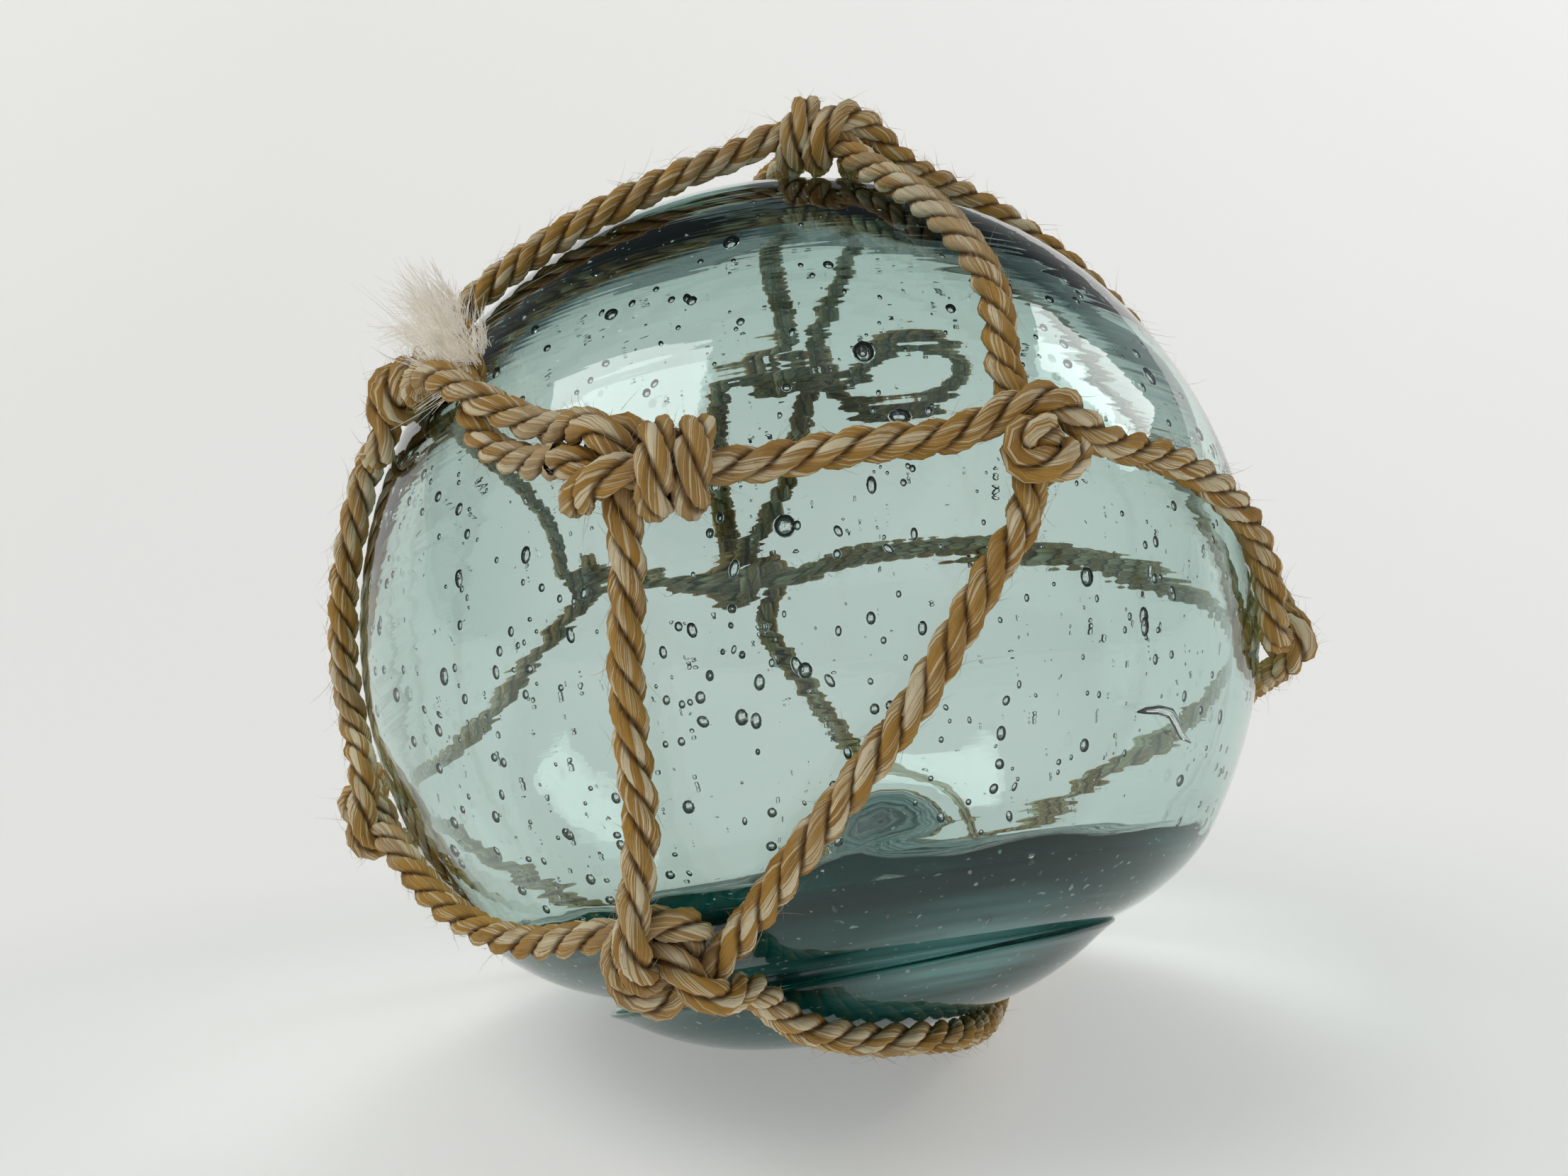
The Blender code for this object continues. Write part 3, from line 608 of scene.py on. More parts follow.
@dataclass
class Bubbles:
    """The seed bubbles in the glass wall, whose faces look into the bubbles."""

    seed: int = 4
    wall: float = 0.0028
    sides: int = 8
    rings: int = 6
    small: float = 0.00024
    small_sides: int = 6
    small_rings: int = 4

    # The ones that are scattered over the wall
    count: int = 1480
    smallest: float = 0.00010
    largest: float = 0.00050
    size_power: float = 2.4
    stretch: Pair = (1.1, 0.7)
    slant: float = 18
    depth_shares: Pair = (0.25, 0.75)
    clear_of_groove: float = 1.1
    flatness: float = 0.9
    flat_share: float = 0.3

    # The ones in the seal
    seal_count: int = 420
    seal_spread: float = 0.033
    seal_depths: Pair = (0.0325, 0.0425)
    seal_sizes: Pair = (0.00008, 0.00022)
    seal_stretch: Pair = (1.2, 3.5)
    seal_skin: float = 0.0005

    # The ones that are marked on the photo
    seen: tuple[SeenBubbles, ...] = (RIGHT_BUBBLES, LEFT_BUBBLES, TOP_BUBBLES)
    seen_share: float = 0.86
    seen_depth: float = 0.5
    seen_flat_share: float = 0.36
    least_turned: float = 0.35
    least_tipped: float = 0.45
    folded_sides: int = 10

    points: list[Array] = field(default_factory=list)
    quads: list[Array] = field(default_factory=list)
    tris: list[Array] = field(default_factory=list)
    total: int = 0

    def tube(self, rings: Array, first: Array, last: Array) -> None:
        """Keeps one closed bubble, turned so that its faces look at its middle.

        Args:
            rings: Its rings of points, from one end to the other.
            first: The point that closes its first end.
            last: The point that closes its last end.
        """
        count, sides = rings.shape[:2]
        points = np.vstack([first, rings.reshape(-1, 3), last])
        side = np.arange(sides)
        ahead = (side + 1) % sides
        base = 1 + (count - 1) * sides
        quads = ring_faces(count, sides, 1)
        cap = np.stack([np.zeros_like(side), 1 + ahead, 1 + side], 1)
        foot = np.stack([np.full_like(side, len(points) - 1), base + side, base + ahead], 1)
        tris = np.vstack([cap, foot])
        corner = points[quads[0]]
        normal = np.cross(corner[1] - corner[0], corner[2] - corner[0])
        if normal @ (corner.mean(0) - rings[0].mean(0) * 0.5 - rings[-1].mean(0) * 0.5) > 0:
            quads, tris = quads[:, ::-1], tris[:, ::-1]
        self.points.append(points)
        self.quads.append(quads + self.total)
        self.tris.append(tris + self.total)
        self.total += len(points)

    def add(self, middle: Array, long: Array, short: Array, flat: Array) -> None:
        """Adds an ellipsoid.

        Args:
            middle: Its middle.
            long: Its half axis from end to end.
            short: Its half axis across, over the ball.
            flat: Its half axis through the wall.
        """
        fine = np.linalg.norm(long) > self.small
        sides, rings = (self.sides, self.rings) if fine else (self.small_sides, self.small_rings)
        polar = np.linspace(0, math.pi, rings + 1)[1:-1, None, None]
        turn = np.linspace(0, math.tau, sides, endpoint=False)[None, :, None]
        around = np.cos(turn) * short + np.sin(turn) * flat
        ball = np.cos(polar) * long + np.sin(polar) * around
        self.tube(middle + ball, middle + long, middle - long)

    def scatter(self) -> None:
        """Adds the small bubbles all over the wall."""
        draw = np.random.default_rng(self.seed)
        for _ in range(self.count):
            facing = unit(draw.normal(size=3))
            size = self.smallest + (self.largest - self.smallest) * draw.random() ** self.size_power
            stretch = self.stretch[0] + self.stretch[1] * draw.random() ** 2
            slant, share = draw.normal(0, self.slant), draw.uniform(*self.depth_shares)
            angle = math.acos(float(np.clip(facing @ FORM.axis, -1, 1)))
            if angle < FORM.groove_angle * self.clear_of_groove:
                continue
            around = unit(np.cross(FORM.axis, facing))
            along = np.cross(facing, around)
            c, s = math.cos(math.radians(slant)), math.sin(math.radians(slant))
            flat = min(size * self.flatness, self.wall * self.flat_share)
            middle = FORM.centre + facing * (FORM.radius(facing[None])[0] - self.wall * share)
            self.add(middle, (along * c + around * s) * size * stretch,
                     (around * c - along * s) * size, facing * flat)

    def in_seal(self) -> None:
        """Adds bubbles in the thick glass, drawn out along the seal's rim."""
        draw = np.random.default_rng(self.seed + 1)
        axis = FORM.axis
        for _ in range(self.seal_count):
            spoke = unit(np.cross(axis, draw.normal(size=3)))
            out = self.seal_spread * math.sqrt(draw.random())
            depth = draw.uniform(*self.seal_depths)
            size = draw.uniform(*self.seal_sizes)
            middle = FORM.centre + axis * depth + spoke * out
            reach = np.linalg.norm(middle - FORM.centre) + size * 2
            if reach > FORM.radius(unit(middle - FORM.centre)[None])[0] - self.seal_skin:
                continue
            along = np.cross(axis, spoke)
            long = along * size * draw.uniform(*self.seal_stretch)
            self.add(middle, long, spoke * size, axis * size)

    def marked(self) -> None:
        """Adds the bubbles that stand out in the photo."""
        for group in self.seen:
            for x, y, wide, high in group.marks:
                spot = (group.corner[0] + x / group.zoom, group.corner[1] + y / group.zoom)
                middle = VIEW.on_glass(*spot, self.wall * self.seen_depth)
                facing = unit(middle - FORM.centre)
                scale = np.linalg.norm(middle - VIEW.place) / VIEW.focal / group.zoom / 2
                along = unit(VIEW.up - facing * (VIEW.up @ facing))
                around = np.cross(facing, along)
                turned = max(self.least_turned, abs(around[0]))
                tipped = max(self.least_tipped, abs(along @ VIEW.up))
                short = around * wide * scale / turned * self.seen_share
                long = along * high * scale / tipped * self.seen_share
                flat = min(np.linalg.norm(short), self.wall * self.seen_flat_share)
                self.add(middle, long, short, facing * flat)

    def folded(self) -> None:
        """Adds the folded bubble."""
        depth = self.wall * self.seen_depth
        spots = np.array([VIEW.on_glass(x, y, depth) for x, y, _ in FOLDED_BUBBLE])
        scale = np.linalg.norm(spots[0] - VIEW.place) / VIEW.focal
        widths = np.array([w for _, _, w in FOLDED_BUBBLE]) * scale
        turn = np.linspace(0, math.tau, self.folded_sides, endpoint=False)[None, :, None]
        out = unit(spots - FORM.centre)
        across = unit(np.cross(unit(np.gradient(spots, axis=0)), out))
        deep = np.minimum(widths, self.wall * self.flat_share)
        rings = (spots[:, None] + np.cos(turn) * (across * widths[:, None])[:, None]
                 + np.sin(turn) * (out * deep[:, None])[:, None])
        self.tube(rings, spots[0], spots[-1])

    def build(self) -> tuple[Array, Array, Array]:
        """Makes all the bubbles.

        Returns:
            Their points, their quads and their triangles.
        """
        self.scatter()
        self.in_seal()
        self.marked()
        self.folded()
        return np.vstack(self.points), np.vstack(self.quads), np.vstack(self.tris)


@dataclass
class GlassBall:
    """The hollow glass ball with its seal, its wall, its ripples and its bubbles."""

    seed: int = 11
    sides: int = 168
    ball_rings: int = 96
    shoulder_rings: int = 20
    lip_steps: int = 7
    dome_steps: int = 22
    # A ring this small closes a surface at its pole
    closed: float = 1e-6

    # The hollow
    wall: float = 0.0028
    top_wall: float = 0.0011
    top_from: float = 0.35
    top_power: float = 1.3
    inner_sides: int = 132
    inner_rings: int = 84
    corner_steps: int = 16
    corner_bend: float = 0.15
    floor_rings: int = 60
    floor_depth: float = 0.0284
    floor_corner: float = 0.0022
    floor_edge: float = 0.93
    floor_dish: float = 0.003
    floor_blend: float = 10

    # The mound on its floor, and the lump beside it, at a place in the photo
    mound_height: float = 0.004
    mound_width: float = 0.0055
    mound_offset: Pair = (0.006, -0.004)
    lump_place: Pair = (1250, 1196)
    lump_height: float = 0.0022
    lump_width: float = 0.0042

    # The slow waves of the two surfaces, and the ripples of the floor
    outer_waves: float = 0.00006
    inner_waves: float = 0.00022
    wave_count: int = 14
    wave_rates: Pair = (5, 16)
    wave_peak: float = 5
    floor_ripple: float = 0.0003
    ripple_count: int = 7
    ripple_rates: Pair = (500, 1400)
    ripple_slant: float = 120
    ripple_peak: float = 3

    def turned(self, outline: Array, sides: int) -> Array:
        """Turns an outline about the seal's axis.

        Args:
            outline: Its points, as radius and depth.
            sides: How many points each ring gets.

        Returns:
            The rings of points, about the ball's centre.
        """
        axis = FORM.axis
        across = unit(np.cross(axis, UP))
        other = np.cross(axis, across)
        turn = np.linspace(0, math.tau, sides, endpoint=False)
        spoke = np.cos(turn)[:, None] * across + np.sin(turn)[:, None] * other
        return outline[:, None, :1] * spoke[None] + outline[:, None, 1:] * axis

    def outer(self) -> tuple[Array, Array]:
        """Makes the outer surface, with the flat spot that it stands on.

        Returns:
            Its points and its quads.
        """
        outline = np.vstack([
            FORM.ball_outline(self.ball_rings, self.shoulder_rings),
            FORM.seal_outline(self.lip_steps, self.dome_steps),
        ])
        outline[0, 0] = outline[-1, 0] = self.closed
        rings = self.turned(outline, self.sides)
        facing = unit(rings)
        seal = np.zeros(len(outline))
        seal[-(self.lip_steps + self.dome_steps):] = 1
        rings = rings + seal[:, None, None] * FORM.lobe_shift(facing)[..., None] * FORM.axis
        wave = self.unevenness(facing, self.outer_waves)
        rings = rings + facing * (wave * (1 - seal[:, None]))[..., None]
        points = rings.reshape(-1, 3) + FORM.centre
        points[:, 2] = np.maximum(points[:, 2], 0)
        return points, ring_faces(len(outline), self.sides)

    def unevenness(self, facing: Array, depth: float) -> Array:
        """The slow waves of a hand-blown wall.

        Args:
            facing: Directions from the ball's centre.
            depth: How deep the waves are, at most about.

        Returns:
            How far the surface stands out in each direction.
        """
        draw = np.random.default_rng(self.seed)
        total = np.zeros(facing.shape[:-1])
        for _ in range(self.wave_count):
            way = unit(draw.normal(size=3))
            rate, phase = draw.uniform(*self.wave_rates), draw.uniform(0, math.tau)
            total += np.sin(facing @ way * rate + phase)
        return total * depth / self.wave_peak

    def inner(self) -> tuple[Array, Array]:
        """Makes the hollow's surface, with its thick floor over the seal.

        Returns:
            Its points and its quads.
        """
        reach = BALL_RADIUS - self.wall
        share = np.linspace(0, 1, self.inner_rings)
        floor_angle = math.acos(self.floor_depth / reach)
        bend = self.floor_corner / reach
        angle = math.pi - (math.pi - floor_angle - bend) * share
        side = reach * np.stack([np.sin(angle), np.cos(angle)], 1)
        start, end_radius = side[-1], reach * math.sin(floor_angle) * self.floor_edge
        t = np.linspace(0, 1, self.corner_steps)[1:, None]
        corner_reach = reach * math.sin(floor_angle + bend * self.corner_bend)
        corner_point = np.array([corner_reach, self.floor_depth])
        end = np.array([end_radius, self.floor_depth])
        corner = start * (1 - t) ** 2 + corner_point * 2 * t * (1 - t) + end * t**2
        share = 1 - np.linspace(0, 1, self.floor_rings + 1)[1:]
        sink = self.floor_dish * (1 - share**2)
        floor = np.stack([end_radius * share, self.floor_depth + sink], 1)
        outline = np.vstack([side, corner, floor])
        outline[0, 0] = outline[-1, 0] = self.closed
        rings = self.turned(outline, self.inner_sides)
        axis = FORM.axis
        flat = rings - (rings @ axis)[..., None] * axis
        right = unit(np.cross(UP, axis) * -1)
        front = np.cross(right, axis)
        x, y = flat @ right, flat @ front
        inside = (np.arange(len(outline)) - len(side)) / self.floor_blend
        inside = np.clip(inside, 0, 1)[:, None]
        away = np.hypot(x - self.mound_offset[0], y - self.mound_offset[1])
        mound = self.mound_height * np.exp(-((away / self.mound_width) ** 2))
        draw = np.random.default_rng(self.seed + 1)
        ripple = np.zeros_like(x)
        for _ in range(self.ripple_count):
            rate, phase = draw.uniform(*self.ripple_rates), draw.uniform(0, math.tau)
            slant = draw.uniform(-self.ripple_slant, self.ripple_slant)
            ripple += np.sin(y * rate + x * slant + phase)
        rise = inside * (mound + self.floor_ripple * ripple / self.ripple_peak)
        rings = rings - rise[..., None] * axis
        facing = unit(rings)
        top = np.clip((facing[..., 2] - self.top_from) / (1 - self.top_from), 0, 1)
        shift = self.unevenness(facing[..., ::-1], self.inner_waves)
        shift = shift - top**self.top_power * self.top_wall
        rings = rings + facing * (shift * (1 - inside))[..., None]
        lump = unit(VIEW.on_glass(*self.lump_place, self.wall) - FORM.centre)
        away = np.linalg.norm(rings - lump * reach, axis=-1)
        lift = self.lump_height * np.exp(-((away / self.lump_width) ** 2))
        rings = rings - lump * lift[..., None]
        faces = ring_faces(len(outline), self.inner_sides)
        return rings.reshape(-1, 3) + FORM.centre, faces

    def build(self, bubbles: Bubbles) -> Piece:
        """Makes the glass as one piece.

        Args:
            bubbles: The bubbles to put in its wall.

        Returns:
            The new piece.
        """
        outer, outer_faces = self.outer()
        if self.faces_inwards(outer, outer_faces, FORM.centre):
            outer_faces = outer_faces[:, ::-1]
        inner, inner_faces = self.inner()
        if not self.faces_inwards(inner, inner_faces, FORM.centre):
            inner_faces = inner_faces[:, ::-1]
        seeds, quads, tris = bubbles.build()
        points = np.vstack([outer, inner, seeds])
        after = len(outer) + len(inner)
        faces = [outer_faces, inner_faces + len(outer), quads + after, tris + after]
        return new_mesh_object("glass_ball", points, faces)

    @staticmethod
    def faces_inwards(points: Array, faces: Array, middle: Array) -> bool:
        """Whether a surface looks inwards, told from one face near the middle of its list.

        Args:
            points: The surface's points.
            faces: Its faces.
            middle: The point that it stands round.

        Returns:
            Whether the face looks at that point.
        """
        corner = points[faces[len(faces) // 3]]
        normal = np.cross(corner[1] - corner[0], corner[2] - corner[0])
        return bool(normal @ (corner.mean(0) - middle) < 0)


@dataclass
class SealCore:
    """The glass deep in the seal, as a body of its own.

    In such thick glass light runs round and round and takes on the glass's colour. This body gives
    that colour, a little under the surface.
    """

    skin: float = 0.0013
    top_skin: float = 0.0010
    floor_reach: float = 0.0315
    sides: int = 120
    rings: int = 36
    top_rings: int = 14
    # The smallest angle and the smallest share of the width, which close it at its poles
    pole_angle: float = 1e-5
    pole_share: float = 1e-4
    # How close to the rim its top bends down to the edge
    edge_power: int = 8

    def build(self, ball: GlassBall) -> Piece:
        """Makes the body to lie within the ball's seal.

        Args:
            ball: The glass ball.

        Returns:
            The new piece.
        """
        floor = ball.floor_depth + self.top_skin
        reach = BALL_RADIUS - self.skin
        angle = math.acos(floor / reach) * np.linspace(1, 0, self.rings)
        angle[-1] = self.pole_angle
        across = unit(np.cross(FORM.axis, UP))
        other = np.cross(FORM.axis, across)
        turn = np.linspace(0, math.tau, self.sides, endpoint=False)
        spoke = np.cos(turn)[:, None] * across + np.sin(turn)[:, None] * other
        facing = np.sin(angle)[:, None, None] * spoke[None]
        facing = facing + np.cos(angle)[:, None, None] * FORM.axis
        flat = facing.reshape(-1, 3)
        under = (flat * (FORM.radius(flat) - self.skin)[:, None]).reshape(facing.shape)
        edge = (under[0] * spoke).sum(1)
        share = np.linspace(0, 1, self.top_rings + 1)[:-1]
        share[0] = self.pole_share
        wide = share[:, None] * edge[None]
        sink = ball.floor_dish * np.clip(1 - (wide / self.floor_reach) ** 2, 0, 1)
        height = floor + sink
        height = height + (under[0] @ FORM.axis - height) * share[:, None] ** self.edge_power
        top = wide[..., None] * spoke[None] + height[..., None] * FORM.axis
        rings = np.concatenate([top, under])
        points = rings.reshape(-1, 3) + FORM.centre
        faces = ring_faces(len(rings), self.sides)
        if GlassBall.faces_inwards(points, faces[::-1], FORM.centre):
            faces = faces[:, ::-1]
        return new_mesh_object("seal_core", points, faces)


@dataclass
class RopePath:
    """A rope's middle line, with what is needed to lay strands along it."""

    name: str
    points: Array
    # Whether it holds the loose end
    loose: bool = False
    # Steps between two points of a curve, before it is parted evenly
    curve_steps: int = 12
    # A rope that starts more upright than this takes its first side direction from the right
    upright: float = 0.9

    @staticmethod
    def smooth(points: Array, step: float) -> Array:
        """Points at even steps along a smooth curve through the given ones.

        Args:
            points: The points to pass through.
            step: The length of a step.

        Returns:
            The even points, with both ends kept.
        """
        padded = np.vstack([points[0] * 2 - points[1], points, points[-1] * 2 - points[-2]])
        t = np.linspace(0, 1, RopePath.curve_steps, endpoint=False)[:, None]
        fine = []
        for index in range(1, len(padded) - 2):
            p0, p1, p2, p3 = padded[index - 1 : index + 3]
            fine.append(0.5 * (p1 * 2 + (p2 - p0) * t + (p0 * 2 - p1 * 5 + p2 * 4 - p3) * t**2
                               + (p1 * 3 - p0 - p2 * 3 + p3) * t**3))
        fine = np.vstack([*fine, points[-1:]])
        gaps = np.linalg.norm(np.diff(fine, axis=0), axis=1)
        along = np.concatenate([[0], np.cumsum(gaps)])
        pieces = max(3, round(along[-1] / step))
        at = np.linspace(0, along[-1], pieces + 1)
        return np.stack([np.interp(at, along, fine[:, k]) for k in range(3)], 1)

    def frames(self) -> tuple[Array, Array, Array, Array]:
        """The directions at each point of the rope, without twist.

        Returns:
            The tangents, two directions across them, and the length up to each point.
        """
        points = self.points
        tangent = unit(np.gradient(points, axis=0))
        side = np.zeros_like(points)
        start = UP if abs(tangent[0][2]) < self.upright else np.array([1.0, 0, 0])
        side[0] = unit(start - tangent[0] * (start @ tangent[0]))
        for index in range(1, len(points)):
            before = side[index - 1]
            side[index] = unit(before - tangent[index] * (before @ tangent[index]))
        other = np.cross(tangent, side)
        gaps = np.linalg.norm(np.diff(points, axis=0), axis=1)
        return tangent, side, other, np.concatenate([[0], np.cumsum(gaps)])


@dataclass
class RopeNetwork:
    """The net's cords joined end to end through their knots, and settled against each other."""

    step: float = 0.0011
    rounds: int = 140
    # How near cords may come, in cord widths, and how much nearer in tight knots
    squeeze: float = 0.93
    press: float = 0.7
    tight_reach: float = 2.8
    floor_gap: float = CORD_DIAMETER * 0.57
    # How far off the glass a cord's middle stays, in its half widths
    sink: float = 0.97
    # How strongly a rope holds its place, straightens, gives way and keeps its length
    hold: float = 0.012
    bend: float = 0.16
    push: float = 1.15
    stiffness: float = 0.25
    length_rounds: int = 3
    # How near points are that are watched, how often they are looked up, and how far apart they
    # lie on one rope, in cord widths
    pair_reach: float = 1.9
    pair_rounds: int = 10
    own_reach: float = 1.7
    pair_block: int = 400
    # How far from its knots a cord's own points start, in cord widths
    knot_margin: float = 0.7
    knot_reach: float = 2.6
    goal_reach: float = 3.0
    paths: list[RopePath] = field(default_factory=list)

    def knot_place(self, name: str) -> tuple[Array, Array, float]:
        """Where a knot lies.

        Args:
            name: The knot's name.

        Returns:
            Its middle on the glass, its directions right, up and outwards, and its cord width.
        """
        bearing, height, size = KNOTS[name]
        out = on_ball(bearing, height)
        up = unit(UP - out * out[2])
        across = np.cross(up, out)
        return FORM.place(bearing, height, 0), np.stack([across, up, out]), CORD_DIAMETER * size

    def knot_points(self, name: str, points: list) -> Array:
        """Wraps the points of a run through a knot over the curve of the ball.

        Args:
            name: The knot's name.
            points: The run's points, in cord widths.

        Returns:
            The points in the scene.
        """
        middle, directions, scale = self.knot_place(name)
        local = np.array(points, float) * scale
        flat = middle + local[:, :1] * directions[0] + local[:, 1:2] * directions[1]
        facing = unit(flat - FORM.centre)
        lift = local[:, 2:] / scale * CORD_DIAMETER
        return FORM.centre + facing * (FORM.radius(facing)[:, None] + lift)

    def cord_points(self, name: str) -> Array:
        """A cord's own points between its knots."""
        lift = CLEARANCE + CORD_DIAMETER / 2
        return np.array([FORM.place(b, h, lift + off * MM) for b, h, off in CORDS[name]])

    def join(self) -> None:
        """Joins runs and cords into whole ropes."""
        runs = knot_runs()
        links: dict[str, tuple[str, int, bool]] = {}
        for knot, passes in runs.items():
            for index, (start, end, _) in enumerate(passes):
                links[start] = (knot, index, False)
                if end:
                    links[end] = (knot, index, True)
        left = {(knot, index) for knot, passes in runs.items() for index in range(len(passes))}
        stopped = [(k, i) for k, i in sorted(left) if runs[k][i][1] is None]
        for first in stopped + sorted(left):
            if first not in left:
                continue
            knot, index = first
            whole: list[Array] = []
            name = f"{knot}_{index}"
            backward, loose = runs[knot][index][1] is None, False
            here: tuple[str, int] | None = first
            while here is not None and here in left:
                left.discard(here)
                knot, index = here
                start, end, points = runs[knot][index]
                turned = self.knot_points(knot, points)
                whole.append(turned[::-1] if backward else turned)
                leave = start if backward else end
                if leave is None:
                    break
                cord, side = leave.split(":")
                between = self.cord_points(cord)
                middle = self.knot_place(knot)[0]
                if side == "1":
                    between = between[::-1]
                if cord == "loose_end":
                    loose = True
                    whole.append(self.thinned(between, whole[-1][-1], middle, None))
                    break
                far = f"{cord}:{1 - int(side)}"
                knot2, index2, backward = links[far]
                whole.append(self.thinned(between, whole[-1][-1], middle, self.knot_place(knot2)[0]))
                here = (knot2, index2)
            points = np.vstack([part for part in whole if len(part)])
            self.paths.append(RopePath(name, points, loose))

    def thinned(self, points: Array, last: Array, middle: Array, goal: Array | None) -> Array:
        """Drops a cord's points that lie inside the reach of a knot.

        Args:
            points: The cord's points.
            last: The last point of the run before.
            middle: The middle of the knot that it leaves.
            goal: The middle of the knot that it goes to.

        Returns:
            The points that stay.
        """
        reach = max(np.linalg.norm(last - middle) + self.knot_margin * CORD_DIAMETER,
                    self.knot_reach * CORD_DIAMETER)
        keep = np.linalg.norm(points - middle, axis=1) > reach
        if goal is not None:
            keep &= np.linalg.norm(points - goal, axis=1) > self.goal_reach * CORD_DIAMETER
        return points[keep]

    def settle(self) -> None:
        """Lets the ropes push each other and the glass away until none runs through another."""
        chains = [RopePath.smooth(path.points, self.step) for path in self.paths]
        points = np.vstack(chains)
        home = points.copy()
        owner = np.concatenate([np.full(len(chain), i) for i, chain in enumerate(chains)])
        place = np.concatenate([np.arange(len(chain)) for chain in chains])
        same = owner[:-1] == owner[1:]
        near = int(CORD_DIAMETER * self.own_reach / self.step)
        gap = CORD_DIAMETER * self.squeeze
        press = np.ones(len(points))
        for name in TIGHT_KNOTS:
            away = np.linalg.norm(points - self.knot_place(name)[0], axis=1)
            press[away < self.tight_reach * CORD_DIAMETER] = self.press
        for turn in range(self.rounds):
            if turn % self.pair_rounds == 0:
                first, second = self.close_pairs(points, gap * self.pair_reach)
                apart = owner[first] != owner[second]
                apart |= np.abs(place[first] - place[second]) > near
                first, second = first[apart], second[apart]
            move = np.zeros_like(points)
            count = np.zeros(len(points))
            span = points[first] - points[second]
            far = np.linalg.norm(span, axis=1)
            room = gap * (press[first] + press[second]) / 2
            hit = far < room
            push = span[hit] / np.maximum(far[hit], 1e-6)[:, None]
            push = push * ((room[hit] - far[hit]) / 2)[:, None]
            np.add.at(move, first[hit], push)
            np.add.at(move, second[hit], -push)
            np.add.at(count, first[hit], 1)
            np.add.at(count, second[hit], 1)
            points += move / np.maximum(count, 1)[:, None] * self.push
            middle = np.zeros_like(points)
            inside = np.zeros(len(points), bool)
            inside[1:-1] = same[:-1] & same[1:]
            middle[1:-1] = (points[:-2] + points[2:]) / 2 - points[1:-1]
            points[inside] += middle[inside] * self.bend * 2
            points += (home - points) * self.hold
            for _ in range(self.length_rounds):
                span = points[1:] - points[:-1]
                far = np.linalg.norm(span, axis=1)
                share = (far - self.step) / np.maximum(far, 1e-6) * self.stiffness
                fix = np.where(same, share, 0)[:, None] * span
                points[:-1] += fix
                points[1:] -= fix
            out = points - FORM.centre
            reach = np.linalg.norm(out, axis=1)
            need = FORM.radius(out) + CORD_DIAMETER / 2 * self.sink + CLEARANCE
            low = reach < need
            points[low] = FORM.centre + out[low] / reach[low][:, None] * need[low][:, None]
            points[:, 2] = np.maximum(points[:, 2], self.floor_gap)
        splits = np.cumsum([len(chain) for chain in chains])[:-1]
        for path, settled in zip(self.paths, np.split(points, splits)):
            path.points = settled

    def close_pairs(self, points: Array, reach: float) -> tuple[Array, Array]:
        """Finds the points that are near each other.

        Args:
            points: All points.
            reach: How near.

        Returns:
            The numbers of the first and of the second point of each pair.
        """
        first, second = [], []
        for start in range(0, len(points), self.pair_block):
            part = points[start : start + self.pair_block]
            far = np.linalg.norm(part[:, None] - points[None], axis=2)
            a, b = np.nonzero(far < reach)
            a = a + start
            keep = a < b
            first.append(a[keep])
            second.append(b[keep])
        return np.concatenate(first), np.concatenate(second)


@dataclass
class LaidPart:
    """The mesh of some laid cord: points, quads, and each corner's places in the lay."""

    points: Array
    quads: Array
    lay: Array
    groove: Array


class Fineness(Enum):
    """How finely cord is meshed: the length of a step in metres and the sides of a strand."""

    NEAR = (0.00083, 18)
    FAR = (0.0015, 12)


